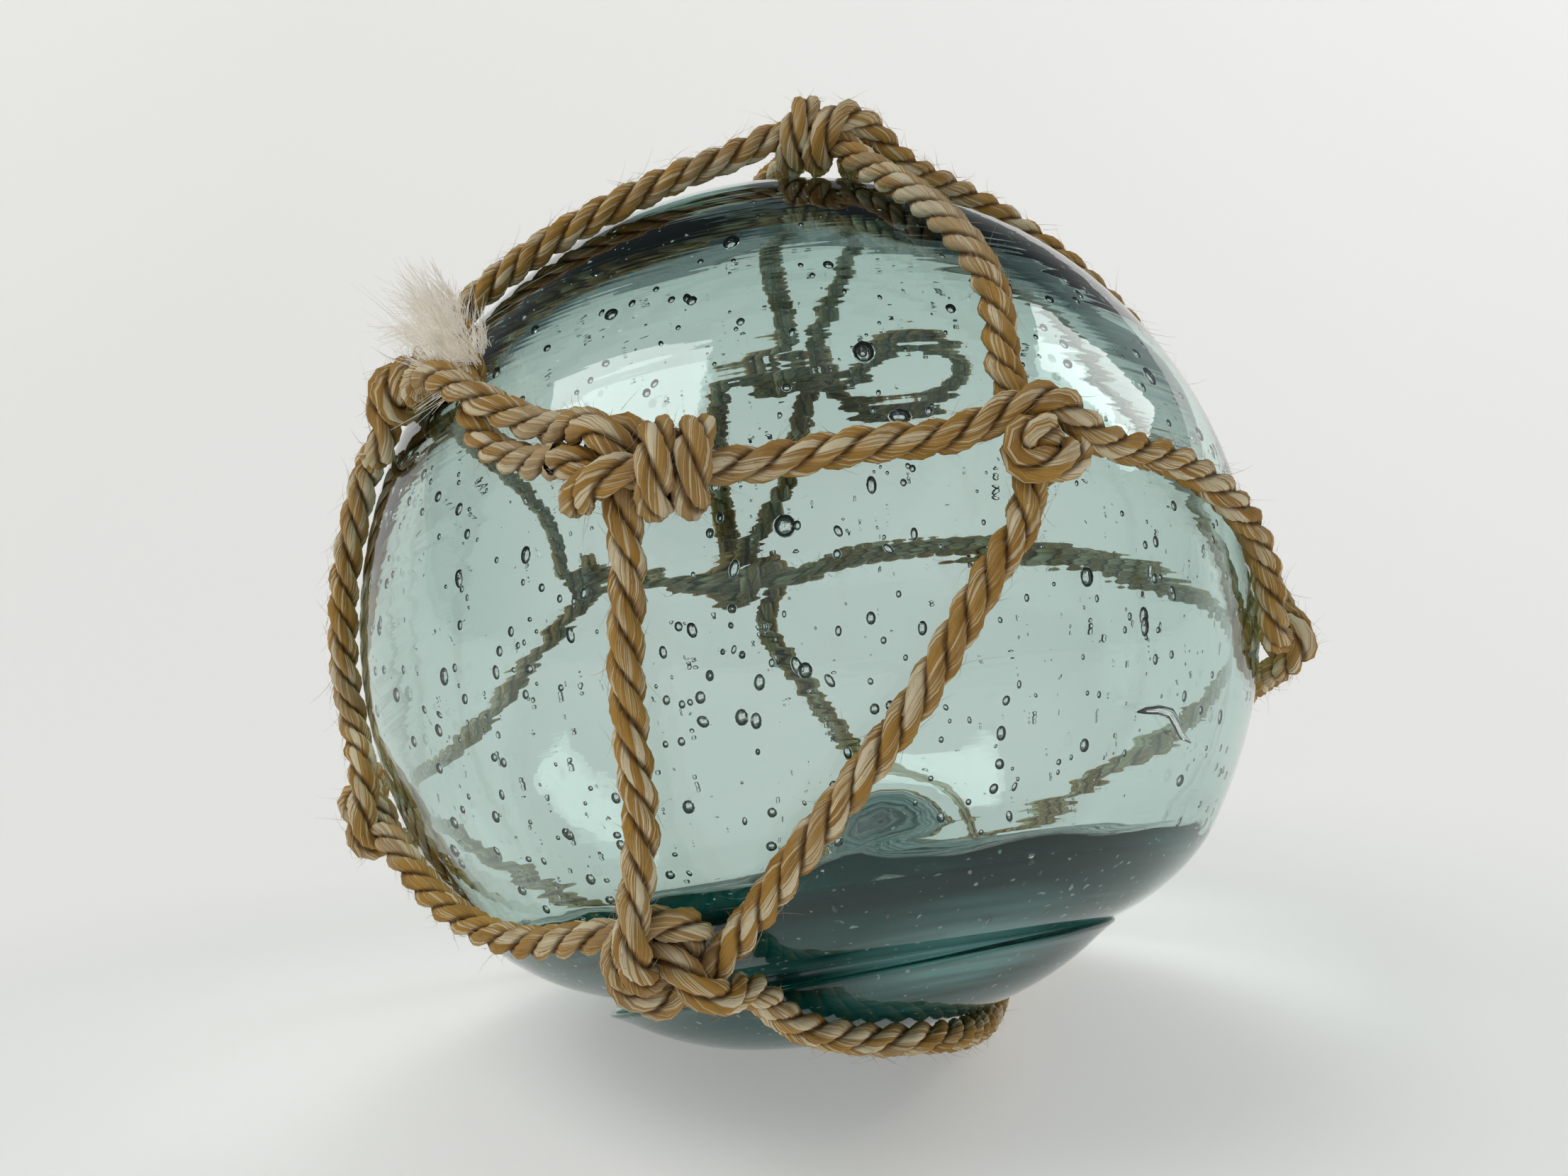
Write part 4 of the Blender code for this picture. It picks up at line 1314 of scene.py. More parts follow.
@dataclass
class LaidCord:
    """Three strands laid round each other, each with the ridges of its yarns.

    The lay layer holds the place round the strand, with the strand's number in threes, and the
    place along it in centimetres. The groove layer holds how far a spot faces out of the cord.
    """

    strand_radius: float = 0.268
    strand_offset: float = 0.243
    pitch: float = 3.05
    counter_twist: float = 0.8
    yarns: int = 6
    ridge: float = 0.15
    ridge_heights: Pair = (0.6, 1.25)
    ridge_level: float = 0.6
    looseness: float = 0.035
    # How far a strand slips round the cord, and how far its thickness wanders over so many steps
    slip: float = 0.07
    swell: float = 0.04
    swell_steps: int = 24
    seed: int = 21

    def sweep(self, path: RopePath, fineness: Fineness, spread: Array | None = None) -> LaidPart:
        """Lays the strands along a rope.

        Args:
            path: The rope's middle line.
            fineness: How finely to mesh it.
            spread: How far the strands stand apart at the rope's points, against closely laid.

        Returns:
            The laid cord.
        """
        step, sides = fineness.value
        fine = RopePath(path.name, RopePath.smooth(path.points, step))
        _, side, other, along = fine.frames()
        count = len(fine.points)
        wide = np.ones(count)
        if spread is not None:
            wide = np.interp(np.linspace(0, 1, count), np.linspace(0, 1, len(spread)), spread)
        draw = np.random.default_rng(self.seed + sum(map(ord, path.name)))
        sway = np.cumsum(draw.normal(0, self.looseness, count))
        sway -= np.linspace(0, sway[-1], count)
        turn = -math.tau * along / (self.pitch * CORD_DIAMETER) + sway
        angle = np.linspace(0, math.tau, sides, endpoint=False)
        index = (angle / math.tau * self.yarns).astype(int) % self.yarns
        marks = np.arange(0, count + self.swell_steps, self.swell_steps)
        points, quads, lay, groove = [], [], [], []
        for strand in range(3):
            phase = turn + math.tau * strand / 3 + draw.uniform(-self.slip, self.slip)
            away = np.cos(phase)[:, None] * side + np.sin(phase)[:, None] * other
            middle = fine.points + self.strand_offset * CORD_DIAMETER * wide[:, None] * away
            spin = (-self.counter_twist * turn)[:, None] + angle[None] + strand
            swell = 1 + draw.normal(0, self.swell, len(marks))
            slow = np.interp(np.arange(count), marks, swell)
            heights = draw.uniform(*self.ridge_heights, self.yarns)
            ridge = np.abs(np.sin(angle * self.yarns / 2)) * heights[index] - self.ridge_level
            ridge = self.ridge * ridge
            radius = self.strand_radius * CORD_DIAMETER * slow[:, None] * (1 + ridge[None])
            way = np.cos(spin)[..., None] * side[:, None] + np.sin(spin)[..., None] * other[:, None]
            ring = middle[:, None] + radius[..., None] * way
            facing = (way * away[:, None]).sum(2).reshape(-1)
            made = ring_faces(count, sides)
            quads.append(made + strand * count * sides)
            points.append(ring.reshape(-1, 3))
            cell, spot = np.meshgrid(np.arange(count - 1), np.arange(sides), indexing="ij")
            around = (spot + np.array([0, 1, 1, 0])[:, None, None]) / sides + strand * 3
            ahead = along[cell + np.array([0, 0, 1, 1])[:, None, None]] * 100
            lay.append(np.stack([around, ahead], -1).transpose(1, 2, 0, 3).reshape(-1, 2))
            out = facing[made.ravel()]
            groove.append(np.stack([out, np.zeros_like(out)], 1))
        return LaidPart(np.vstack(points), np.vstack(quads), np.vstack(lay), np.vstack(groove))


def laid_object(name: str, parts: list[LaidPart]) -> Piece:
    """Joins stretches of laid cord to one mesh object.

    Args:
        name: The object's name.
        parts: The stretches.

    Returns:
        The new object.
    """
    starts = np.cumsum([0] + [len(part.points) for part in parts])
    quads = np.vstack([part.quads + start for part, start in zip(parts, starts)])
    layers = {
        "lay": np.vstack([part.lay for part in parts]),
        "groove": np.vstack([part.groove for part in parts]),
    }
    return new_mesh_object(name, np.vstack([part.points for part in parts]), quads, layers)


class Graph:
    """Short ways to add and join nodes in one node tree."""

    def __init__(self, tree: bpy.types.NodeTree) -> None:
        """Keeps the tree."""
        self.tree = tree

    def add(self, kind: str, inputs: Inputs | None = None, **settings: object) -> Node:
        """Adds a node.

        Args:
            kind: The node's type.
            inputs: What goes into its inputs.
            settings: Its settings, by name.

        Returns:
            The new node.
        """
        made = self.tree.nodes.new(kind)
        for key, value in settings.items():
            setattr(made, key, value)
        self.feed(made, inputs or {})
        return made

    def feed(self, node: Node, inputs: Inputs) -> None:
        """Joins sockets to a node's inputs, and sets plain numbers and colours on its own ones.

        Args:
            node: The node.
            inputs: What goes into its inputs, by their names or places.
        """
        for key, value in inputs.items():
            socket = node.inputs[key]
            if isinstance(value, Socket):
                self.tree.links.new(value, socket)
            elif socket.type == "RGBA":
                socket.default_value = (*value, 1)
            else:
                socket.default_value = value

    def math(self, operation: str, first: Socket | float, second: Socket | float = 0.0) -> Socket:
        """The result of a Math node on two sockets or numbers."""
        return self.add("ShaderNodeMath", {0: first, 1: second}, operation=operation).outputs[0]

    def mix(self, share: Socket, first: Socket | Colour, second: Socket | Colour) -> Socket:
        """The first colour, mixed with this share of the second."""
        inputs = dict(zip(MIX_INPUTS, (share, first, second)))
        return self.add("ShaderNodeMix", inputs, data_type="RGBA").outputs[MIX_RESULT]

    def noise(self, places: Socket, scale: float, detail: float, rough: float = 0.5) -> Socket:
        """The value of noise with this scale, this count of finer layers and their strength."""
        inputs = {"Vector": places, "Scale": scale, "Detail": detail, "Roughness": rough}
        return self.add("ShaderNodeTexNoise", inputs, noise_dimensions="3D").outputs["Fac"]

    def vector(self, operation: str, places: Socket, numbers: Triple) -> Socket:
        """The places reckoned with three numbers or, for a distance, how far they lie from them."""
        made = self.add("ShaderNodeVectorMath", {0: places, 1: numbers}, operation=operation)
        return made.outputs["Value" if operation == "DISTANCE" else "Vector"]

    def axes(self, places: Socket) -> tuple[Socket, ...]:
        """The places' x, y and z."""
        return tuple(self.add("ShaderNodeSeparateXYZ", {"Vector": places}).outputs)

    def ramp(self, value: Socket, low: float, high: float) -> Socket:
        """The value, moved from between low and high to between 0 and 1."""
        inputs = {"Value": value, "From Min": low, "From Max": high}
        return self.add("ShaderNodeMapRange", inputs, clamp=True).outputs["Result"]

    def relief(self, shader: Node, height: Socket, distance: float, strength: float) -> None:
        """Gives a shader relief of this height, with its depth in metres and its strength."""
        inputs = {"Height": height, "Distance": distance, "Strength": strength}
        self.feed(shader, {"Normal": self.add("ShaderNodeBump", inputs).outputs["Normal"]})


def new_group(
    name: str, inputs: dict[str, str], outputs: tuple[str, ...]
) -> tuple[Graph, Node, Node]:
    """Starts a shader node group.

    Args:
        name: The group's name.
        inputs: The kind of each of its inputs.
        outputs: The names of its outputs, all of them values.

    Returns:
        Its graph, the node of its inputs and the node of its outputs.
    """
    tree = bpy.data.node_groups.new(name, "ShaderNodeTree")
    for key, kind in inputs.items():
        tree.interface.new_socket(key, in_out="INPUT", socket_type=kind)
    for key in outputs:
        tree.interface.new_socket(key, in_out="OUTPUT", socket_type="NodeSocketFloat")
    graph = Graph(tree)
    return graph, graph.add("NodeGroupInput"), graph.add("NodeGroupOutput")


def new_material(name: str) -> tuple[bpy.types.Material, Graph, Node, Socket]:
    """Starts a material.

    Args:
        name: The material's name.

    Returns:
        The material, its graph, its shader and the places on the object.
    """
    made = bpy.data.materials.new(name)
    made.use_nodes = True
    graph = Graph(made.node_tree)
    places = graph.add("ShaderNodeTexCoord").outputs["Object"]
    return made, graph, made.node_tree.nodes["Principled BSDF"], places


@dataclass(frozen=True)
class FibreGroup:
    """The node group that tells the yarns of a strand apart and gives them fibres, wear and painted
    shade.

    Scales are round the strand, along it and across. Pairs are where a mask starts and is full.
    """

    name: str = "yarns_and_fibres"
    yarns: int = 6
    yarn_step: float = 5.37
    yarn_change: float = 0.42
    fibre_scale: Triple = (52, 1.4, 1)
    line_scale: Triple = (19, 0.55, 1)
    tone_scale: Triple = (2.2, 0.45, 1)
    wear_scale: float = 110.0
    fibre_shift: float = 0.6
    pale_yarn: Pair = (0.545, 0.61)
    pale_line: Pair = (0.575, 0.64)
    line_share: float = 0.75
    tone_shares: Pair = (0.55, 0.45)
    tone: Pair = (0.36, 0.64)
    wear: Pair = (0.52, 0.70)
    turned_in_shade: Pair = (0.28, -0.15)
    between: Pair = (0.38, 0.5)
    between_shade_share: float = 0.35

    def build(self) -> bpy.types.NodeTree:
        """Makes the group.

        Returns:
            The group: from a place in the lay, a place on the object and the groove's facing, to a
            pale yarn mask, a tone, a wear mask, a mask of painted shade in the grooves and a height.
        """
        kinds = {"Place": "NodeSocketVector", "Position": "NodeSocketVector",
                 "Facing": "NodeSocketFloat"}
        outputs = ("Pale", "Tone", "Wear", "Groove", "Height")
        graph, source, sink = new_group(self.name, kinds, outputs)
        place = source.outputs["Place"]
        around, ahead, _ = graph.axes(place)
        scaled = graph.math("MULTIPLY", around, float(self.yarns))
        yarn = graph.math("FLOOR", scaled)
        own = graph.add("ShaderNodeCombineXYZ", {
            "X": graph.math("MULTIPLY", yarn, self.yarn_step),
            "Y": graph.math("MULTIPLY", ahead, self.yarn_change),
        })
        fibres = graph.noise(graph.vector("MULTIPLY", place, self.fibre_scale), 1.0, 3.0, 0.6)
        slow = graph.noise(own.outputs["Vector"], 1.0, 1.0, 0.4)
        shift = graph.math("MULTIPLY", graph.math("SUBTRACT", fibres, 0.5), self.fibre_shift)
        whole = graph.ramp(graph.math("ADD", slow, shift), *self.pale_yarn)
        thin = graph.noise(graph.vector("MULTIPLY", place, self.line_scale), 1.0, 1.0, 0.4)
        lines = graph.math("MULTIPLY", graph.ramp(thin, *self.pale_line), self.line_share)
        broad = graph.noise(graph.vector("MULTIPLY", place, self.tone_scale), 1.0, 2.0)
        mixed = graph.math("ADD", graph.math("MULTIPLY", broad, self.tone_shares[0]),
                           graph.math("MULTIPLY", fibres, self.tone_shares[1]))
        worn = graph.noise(source.outputs["Position"], self.wear_scale, 3.0, 0.62)
        # Painted shade: dark where a strand turns in towards its neighbours, and between its yarns
        turned = graph.ramp(source.outputs["Facing"], *self.turned_in_shade)
        gap = graph.math("ABSOLUTE", graph.math("SUBTRACT", graph.math("FRACT", scaled), 0.5))
        line = graph.math("MULTIPLY", graph.ramp(gap, *self.between), self.between_shade_share)
        graph.feed(sink, {
            "Pale": graph.math("MAXIMUM", whole, lines),
            "Tone": graph.ramp(mixed, *self.tone),
            "Wear": graph.ramp(worn, *self.wear),
            "Groove": graph.math("MAXIMUM", turned, line),
            "Height": fibres,
        })
        return graph.tree


@dataclass(frozen=True)
class CordFinish:
    """Golden brown laid fibre with cream yarns, and painted shade in its grooves."""

    name: str
    golden: Colour = (0.53, 0.30, 0.062)
    brown: Colour = (0.32, 0.165, 0.034)
    cream: Colour = (0.80, 0.68, 0.45)
    # Painted shade: the dark colour laid into the grooves between strands and between yarns
    groove: Colour = (0.12, 0.058, 0.014)
    worn: Colour = (0.60, 0.52, 0.38)
    wear: float = 0.35
    groove_shade_share: float = 0.8
    # Spots that are worn pale: places in the photo and their radius in metres
    worn_spots: tuple[Triple, ...] = (
        (950, 668, 0.0055), (1290, 290, 0.011), (760, 625, 0.005),
    )
    spot_share: float = 0.4
    spot_middle: float = 0.5
    roughness: float = 0.68
    specular: float = 0.3
    relief: float = 0.00010
    relief_strength: float = 0.7

    def build(self, group: bpy.types.NodeTree) -> bpy.types.Material:
        """Makes the material.

        Args:
            group: The shared group of yarns and fibres.

        Returns:
            The material.
        """
        made, graph, shader, places = new_material(self.name)
        lay = graph.add("ShaderNodeUVMap", uv_map="lay")
        groove = graph.add("ShaderNodeUVMap", uv_map="groove")
        fibre = graph.add("ShaderNodeGroup", {
            "Place": lay.outputs["UV"],
            "Position": places,
            "Facing": graph.axes(groove.outputs["UV"])[0],
        }, node_tree=group)
        colour = graph.mix(fibre.outputs["Tone"], self.brown, self.golden)
        colour = graph.mix(fibre.outputs["Pale"], colour, self.cream)
        worn = graph.math("MULTIPLY", fibre.outputs["Wear"], self.wear)
        for x, y, reach in self.worn_spots:
            away = graph.vector("DISTANCE", places, tuple(VIEW.on_glass(x, y, -CORD_DIAMETER)))
            near = graph.ramp(away, reach, reach * self.spot_middle)
            worn = graph.math("MAXIMUM", worn, graph.math("MULTIPLY", near, self.spot_share))
        colour = graph.mix(worn, colour, self.worn)
        # Painted shade darkens the grooves between strands and yarns
        shade = graph.math("MULTIPLY", fibre.outputs["Groove"], self.groove_shade_share)
        graph.feed(shader, {"Base Color": graph.mix(shade, colour, self.groove),
                            "Roughness": self.roughness, "Specular IOR Level": self.specular})
        graph.relief(shader, fibre.outputs["Height"], self.relief, self.relief_strength)
        return made


@dataclass(frozen=True)
class StreakGroup:
    """The node group of streaks that run round the seal's axis."""

    name: str = "streaks_round_the_seal"
    fine: Triple = (28, 28, 640)
    broad: Triple = (40, 40, 260)

    def build(self) -> bpy.types.NodeTree:
        """Makes the group.

        Returns:
            The group: from a place on the object to fine and broad streaks, and to how far the
            place lies from the ball's centre along the seal's axis.
        """
        kinds = {"Position": "NodeSocketVector"}
        graph, source, sink = new_group(self.name, kinds, ("Fine", "Broad", "Depth"))
        axis, pole = Vector(FORM.axis), Vector(UP)
        places = graph.add("ShaderNodeVectorRotate", {
            "Vector": source.outputs["Position"],
            "Axis": axis.cross(pole).normalized(),
            "Angle": axis.angle(pole),
            "Center": tuple(FORM.centre),
        }, rotation_type="AXIS_ANGLE").outputs["Vector"]
        graph.feed(sink, {
            "Fine": graph.noise(graph.vector("MULTIPLY", places, self.fine), 1.0, 2.0, 0.55),
            "Broad": graph.noise(graph.vector("MULTIPLY", places, self.broad), 1.0, 1.0),
            "Depth": graph.math("SUBTRACT", graph.axes(places)[2], float(FORM.centre[2])),
        })
        return graph.tree


@dataclass(frozen=True)
class GlassFinish:
    """Clear blue-green glass, tinted by its thickness, with fine ripples."""

    name: str = "blown_glass"
    tint: Colour = (0.10, 0.50, 0.41)
    density: float = 95.0
    ior: float = 1.5
    shadow: Colour = (1.0, 0.965, 0.98)
    # How much more the seal ripples, and the depths between which that begins
    seal_ripple: float = 1.6
    seal_depths: Pair = (0.0255, 0.0300)
    fine_share: float = 0.5
    ripple: float = 0.00015
    strength: float = 0.35

    def build(self, streaks: bpy.types.NodeTree) -> bpy.types.Material:
        """Makes the material.

        Args:
            streaks: The shared group of streaks.

        Returns:
            The material.
        """
        made, graph, shader, places = new_material(self.name)
        graph.feed(shader, {"Base Color": (1, 1, 1), "Roughness": 0.0, "IOR": self.ior,
                            "Transmission Weight": 1.0})
        inputs = {"Color": self.tint, "Density": self.density}
        depth = graph.add("ShaderNodeVolumeAbsorption", inputs)
        # Lamps shine through the glass instead of casting a solid shadow
        path = graph.add("ShaderNodeLightPath")
        clear = graph.add("ShaderNodeBsdfTransparent", {"Color": self.shadow})
        passed = graph.add("ShaderNodeMixShader", {
            "Fac": path.outputs["Is Shadow Ray"],
            1: shader.outputs["BSDF"],
            2: clear.outputs["BSDF"],
        })
        out = next(n for n in made.node_tree.nodes if n.type == "OUTPUT_MATERIAL")
        graph.feed(out, {"Surface": passed.outputs["Shader"], "Volume": depth.outputs["Volume"]})
        streak = graph.add("ShaderNodeGroup", {"Position": places}, node_tree=streaks)
        height = graph.math("ADD", graph.math("MULTIPLY", streak.outputs["Fine"], self.fine_share),
                            streak.outputs["Broad"])
        seal = graph.ramp(streak.outputs["Depth"], *self.seal_depths)
        share = graph.math("ADD", graph.math("MULTIPLY", seal, self.seal_ripple), 1.0)
        height = graph.math("MULTIPLY", height, share)
        graph.relief(shader, height, self.ripple, self.strength)
        return made


@dataclass(frozen=True)
class SealFinish:
    """The deep teal of the thick glass, streaked, with a painted pool of light and painted glints."""

    name: str = "deep_glass"
    dark: Colour = (0.003, 0.060, 0.054)
    mid: Colour = (0.012, 0.185, 0.170)
    # A lighter teal, for the streaks and for the painted pool of light
    light: Colour = (0.32, 0.66, 0.65)
    # Painted glints: bright specks that stand in for the bubbles in the seal
    painted_glint: Colour = (0.8, 0.95, 0.93)
    # A painted pool of light where paper shines through, as a place in the photo and a radius in metres
    painted_light_spot: Triple = (1370, 1400, 0.013)
    painted_light_middle: float = 0.35
    # Pairs are where a mask starts and is full
    broad_streaks: Pair = (0.36, 0.62)
    painted_light_streaks: Pair = (0.38, 0.6)
    lines: Pair = (0.57, 0.70)
    line_share: float = 0.38
    painted_glints: Pair = (0.76, 0.82)
    glint_scale: float = 1500.0
    glint_share: float = 0.7
    roughness: float = 0.55

    def build(self, streaks: bpy.types.NodeTree) -> bpy.types.Material:
        """Makes the material.

        Args:
            streaks: The shared group of streaks.

        Returns:
            The material.
        """
        made, graph, shader, places = new_material(self.name)
        streak = graph.add("ShaderNodeGroup", {"Position": places}, node_tree=streaks)
        fine, broad = streak.outputs["Fine"], streak.outputs["Broad"]
        colour = graph.mix(graph.ramp(broad, *self.broad_streaks), self.dark, self.mid)
        # Painted light: a lighter patch where paper shines through the seal
        x, y, reach = self.painted_light_spot
        away = graph.vector("DISTANCE", places, tuple(VIEW.on_glass(x, y, 0.0)))
        lit = graph.math("MULTIPLY", graph.ramp(away, reach, reach * self.painted_light_middle),
                         graph.ramp(fine, *self.painted_light_streaks))
        colour = graph.mix(lit, colour, self.light)
        lines = graph.math("MULTIPLY", graph.ramp(fine, *self.lines), self.line_share)
        colour = graph.mix(lines, colour, self.light)
        # Painted glints: small bright specks over the seal
        painted_glints = graph.ramp(graph.noise(places, self.glint_scale, 0.0), *self.painted_glints)
        colour = graph.mix(graph.math("MULTIPLY", painted_glints, self.glint_share), colour, self.painted_glint)
        graph.feed(shader, {"Base Color": colour, "Roughness": self.roughness,
                            "Specular IOR Level": 0.0})
        return made


@dataclass(frozen=True)
class FibreFinish:
    """Plain loose fibres, whose tone wanders between two, with a painted glow where one is set."""

    name: str
    light: Colour
    dark: Colour
    # Painted glow: emission that brightens the fibres from within, standing in for light that wanders
    # between pale fibres
    painted_glow: float = 0.0
    scale: float = 900.0
    tones: Pair = (0.35, 0.65)
    roughness: float = 0.6
    specular: float = 0.3
    sheen: float = 0.4

    def build(self) -> bpy.types.Material:
        """Makes the material.

        Returns:
            The material.
        """
        made, graph, shader, places = new_material(self.name)
        tone = graph.ramp(graph.noise(places, self.scale, 2.0, 0.6), *self.tones)
        colour = graph.mix(tone, self.dark, self.light)
        graph.feed(shader, {"Base Color": colour, "Roughness": self.roughness,
                            "Emission Color": colour, "Emission Strength": self.painted_glow,
                            "Specular IOR Level": self.specular, "Sheen Weight": self.sheen})
        return made


class Fibres:
    """Thin loose fibres, gathered into one mesh."""

    # How thick a fibre's tip is against its root
    tip: float = 0.25
    # A stretch more upright than this takes its side direction from the right
    upright: float = 0.8

    def __init__(self, steps: int) -> None:
        """Starts without fibres.

        Args:
            steps: How many steps each fibre has.
        """
        self.steps = steps
        self.lines: list[Array] = []
        self.widths: list[float] = []

    def add(self, start: Array, way: Array, length: float, width: float, curl: Array) -> None:
        """Adds one fibre.

        Args:
            start: Where it comes out.
            way: The direction in which it starts.
            length: Its length.
            width: Its thickness at its root.
            curl: How far its tip bends away from that direction.
        """
        share = np.linspace(0, 1, self.steps)[:, None]
        self.lines.append(start + (way * share + curl * share**2) * length)
        self.widths.append(width)

    def build(self, name: str) -> Piece:
        """Makes the mesh, each fibre with three sides.

        Args:
            name: The object's name.

        Returns:
            The new object.
        """
        lines, widths = np.array(self.lines), np.array(self.widths)
        tangent = unit(np.gradient(lines, axis=1))
        helper = np.where(np.abs(tangent[..., 2:]) < self.upright, UP, np.array([1.0, 0, 0]))
        side = unit(np.cross(tangent, helper))
        other = np.cross(tangent, side)
        taper = np.linspace(1, self.tip, self.steps)[None, :, None, None]
        turn = np.arange(3) * math.tau / 3
        ring = np.cos(turn)[:, None] * side[:, :, None] + np.sin(turn)[:, None] * other[:, :, None]
        points = lines[:, :, None] + ring * widths[:, None, None, None] / 2 * taper
        points[..., 2] = np.maximum(points[..., 2], CLEARANCE)
        faces = ring_faces(self.steps, 3)
        first = (np.arange(len(lines)) * self.steps * 3)[:, None, None]
        quads = (faces[None] + first).reshape(-1, 4)
        tips = np.array([[2, 1, 0], np.arange(3) + (self.steps - 1) * 3])
        ends = (tips[None] + first).reshape(-1, 3)
        return new_mesh_object(name, points.reshape(-1, 3), [quads, ends])


@dataclass
class Netting:
    """The net of laid cord, with the fuzz of loose fibres on it."""

    cord: LaidCord = field(default_factory=LaidCord)
    network: RopeNetwork = field(default_factory=RopeNetwork)
    # A rope is meshed finely where more than this share of it lies nearer than this depth
    near_depth: float = 0.012
    near_share: float = 0.35
    seed: int = 31
    fuzz_count: int = 4600
    fuzz_steps: int = 4
    fuzz_length: Pair = (0.0007, 0.0026)
    fuzz_width: float = 0.000045
    fuzz_widths: Pair = (0.6, 1.2)
    fuzz_along: Pair = (0.6, 1.0)
    fuzz_out: Pair = (0.1, 0.7)
    fuzz_curl: float = 0.25
    # Where a fibre leaves the cord, in cord widths from its middle, and how far it may face the glass
    fuzz_root: float = 0.46
    fuzz_inwards: float = -0.35

    def settle(self) -> None:
        """Joins the cords and settles them."""
        self.network.join()
        self.network.settle()

    def loose_end(self) -> tuple[RopePath, RopePath]:
        """Parts the rope with the loose end where it leaves its knot.

        Returns:
            The stretch in the knot and the loose end.
        """
        leave = FORM.place(*CORDS["loose_end"][0][:2], CORD_DIAMETER / 2)
        for path in self.network.paths:
            if path.loose:
                at = int(np.argmin(np.linalg.norm(path.points - leave, axis=1)))
                knot, end = path.points[: at + 1], path.points[at:]
                return RopePath(path.name, knot), RopePath("loose_end", end)
        raise ValueError("no rope has the loose end")

    def build(self) -> Piece:
        """Lays the cords of the net, without the loose end.

        Returns:
            The new piece.
        """
        parts = []
        for path in self.network.paths:
            if path.loose:
                path = self.loose_end()[0]
            near = (path.points[:, 1] < self.near_depth).mean() > self.near_share
            parts.append(self.cord.sweep(path, Fineness.NEAR if near else Fineness.FAR))
        return laid_object("netting", parts)

    def fuzz(self) -> Piece:
        """Adds short fibres that stand off the cords.

        Returns:
            The new piece.
        """
        draw = np.random.default_rng(self.seed)
        spots = np.vstack([path.points[1:-1] for path in self.network.paths])
        ways = np.vstack([unit(path.points[2:] - path.points[:-2]) for path in self.network.paths])
        fibres = Fibres(self.fuzz_steps)
        for index in draw.integers(0, len(spots), self.fuzz_count):
            way = ways[index]
            out = draw.normal(size=3)
            out = unit(out - way * (out @ way))
            if out @ unit(spots[index] - FORM.centre) < self.fuzz_inwards:
                out = -out
            start = spots[index] + out * CORD_DIAMETER * self.fuzz_root
            lean = way * draw.choice([-1, 1]) * draw.uniform(*self.fuzz_along)
            lean = lean + out * draw.uniform(*self.fuzz_out)
            length = draw.uniform(*self.fuzz_length)
            width = self.fuzz_width * draw.uniform(*self.fuzz_widths)
            fibres.add(start, unit(lean), length, width, draw.normal(0, self.fuzz_curl, 3))
        return fibres.build("cord_fuzz")


@dataclass
class FrayedEnd:
    """The loose end of the net's cord, which opens into a tuft of pale fibres."""

    cord: LaidCord = field(default_factory=lambda: LaidCord(looseness=0.06))
    # Places along the middle of the tuft: bearing, height and distance from the glass in mm
    spine: tuple[Triple, ...] = (
        (-44.5, 31.5, 2.8), (-48.0, 34.4, 3.8), (-52.5, 37.0, 5.0), (-58.0, 39.2, 6.4),
    )
    spine_step: float = 0.0004
    seed: int = 41
    locks: int = 74
    lock_fibres: int = 17
    fibre_steps: int = 6
    fibre_width: float = 0.00013
    fibre_widths: Pair = (0.6, 1.2)
    fibre_lengths: Pair = (0.6, 1.1)
    fibre_scatter: float = 0.00022
    fibre_spread: float = 0.13
    fibre_curl: float = 0.14
    # Where the locks start along and beside the spine
    root_power: float = 1.3
    root_reach: float = 0.8
    half_width: float = 0.0012
    narrowing: float = 0.35
    depth_share: float = 0.8
    # Their ways along the spine, and to the left and the front as a middle and a spread
    lock_along: Pair = (0.6, 1.0)
    lock_left: Pair = (0.22, 0.3)
    lock_front: Pair = (0.08, 0.3)
    lock_curl: float = 0.35
    curl_left: float = 0.12
    # Their lengths, and how these shrink towards the tip
    lock_lengths: Pair = (0.0026, 0.0058)
    longest: float = 1.1
    shrinking: float = 0.5
    # How far the strands part towards the tuft
    parting: float = 1.25
    closed_steps: int = 12
    parting_steps: int = 6

    def strands(self, end: RopePath) -> Piece:
        """Lays the loose end up to its tuft.

        Args:
            end: Its middle line.

        Returns:
            The new piece.
        """
        parting = np.linspace(1, self.parting, self.parting_steps)
        spread = np.concatenate([np.ones(self.closed_steps), parting])
        return laid_object("frayed_end", [self.cord.sweep(end, Fineness.NEAR, spread)])

    def tuft(self) -> Piece:
        """Makes the tuft, as locks of fibres that fan out from its spine.

        Returns:
            The new piece.
        """
        draw = np.random.default_rng(self.seed)
        spine = np.array([FORM.place(b, h, lift * MM) for b, h, lift in self.spine])
        spine = RopePath.smooth(spine, self.spine_step)
        along = unit(spine[-1] - spine[0])
        left = np.array([-1.0, 0, 0.15])
        left = unit(left - along * (left @ along))
        near = np.cross(along, left)
        if near[1] > 0:
            near = -near
        fibres = Fibres(self.fibre_steps)
        for _ in range(self.locks):
            share = draw.random() ** self.root_power * self.root_reach
            root = spine[int(share * (len(spine) - 1))]
            wide = self.half_width * (1 - self.narrowing * share)
            root = root + left * draw.normal(0, wide) + near * draw.normal(0, wide * self.depth_share)
            way = along * draw.uniform(*self.lock_along) + left * draw.normal(*self.lock_left)
            way = way + near * draw.normal(*self.lock_front)
            curl = draw.normal(0, self.lock_curl, 3) + left * self.curl_left
            length = draw.uniform(*self.lock_lengths) * (self.longest - self.shrinking * share)
            for _ in range(self.lock_fibres):
                start = root + draw.normal(0, self.fibre_scatter, 3)
                lean = unit(way + draw.normal(0, self.fibre_spread, 3))
                reach = length * draw.uniform(*self.fibre_lengths)
                width = self.fibre_width * draw.uniform(*self.fibre_widths)
                fibres.add(start, lean, reach, width, curl + draw.normal(0, self.fibre_curl, 3))
        return fibres.build("frayed_tuft")


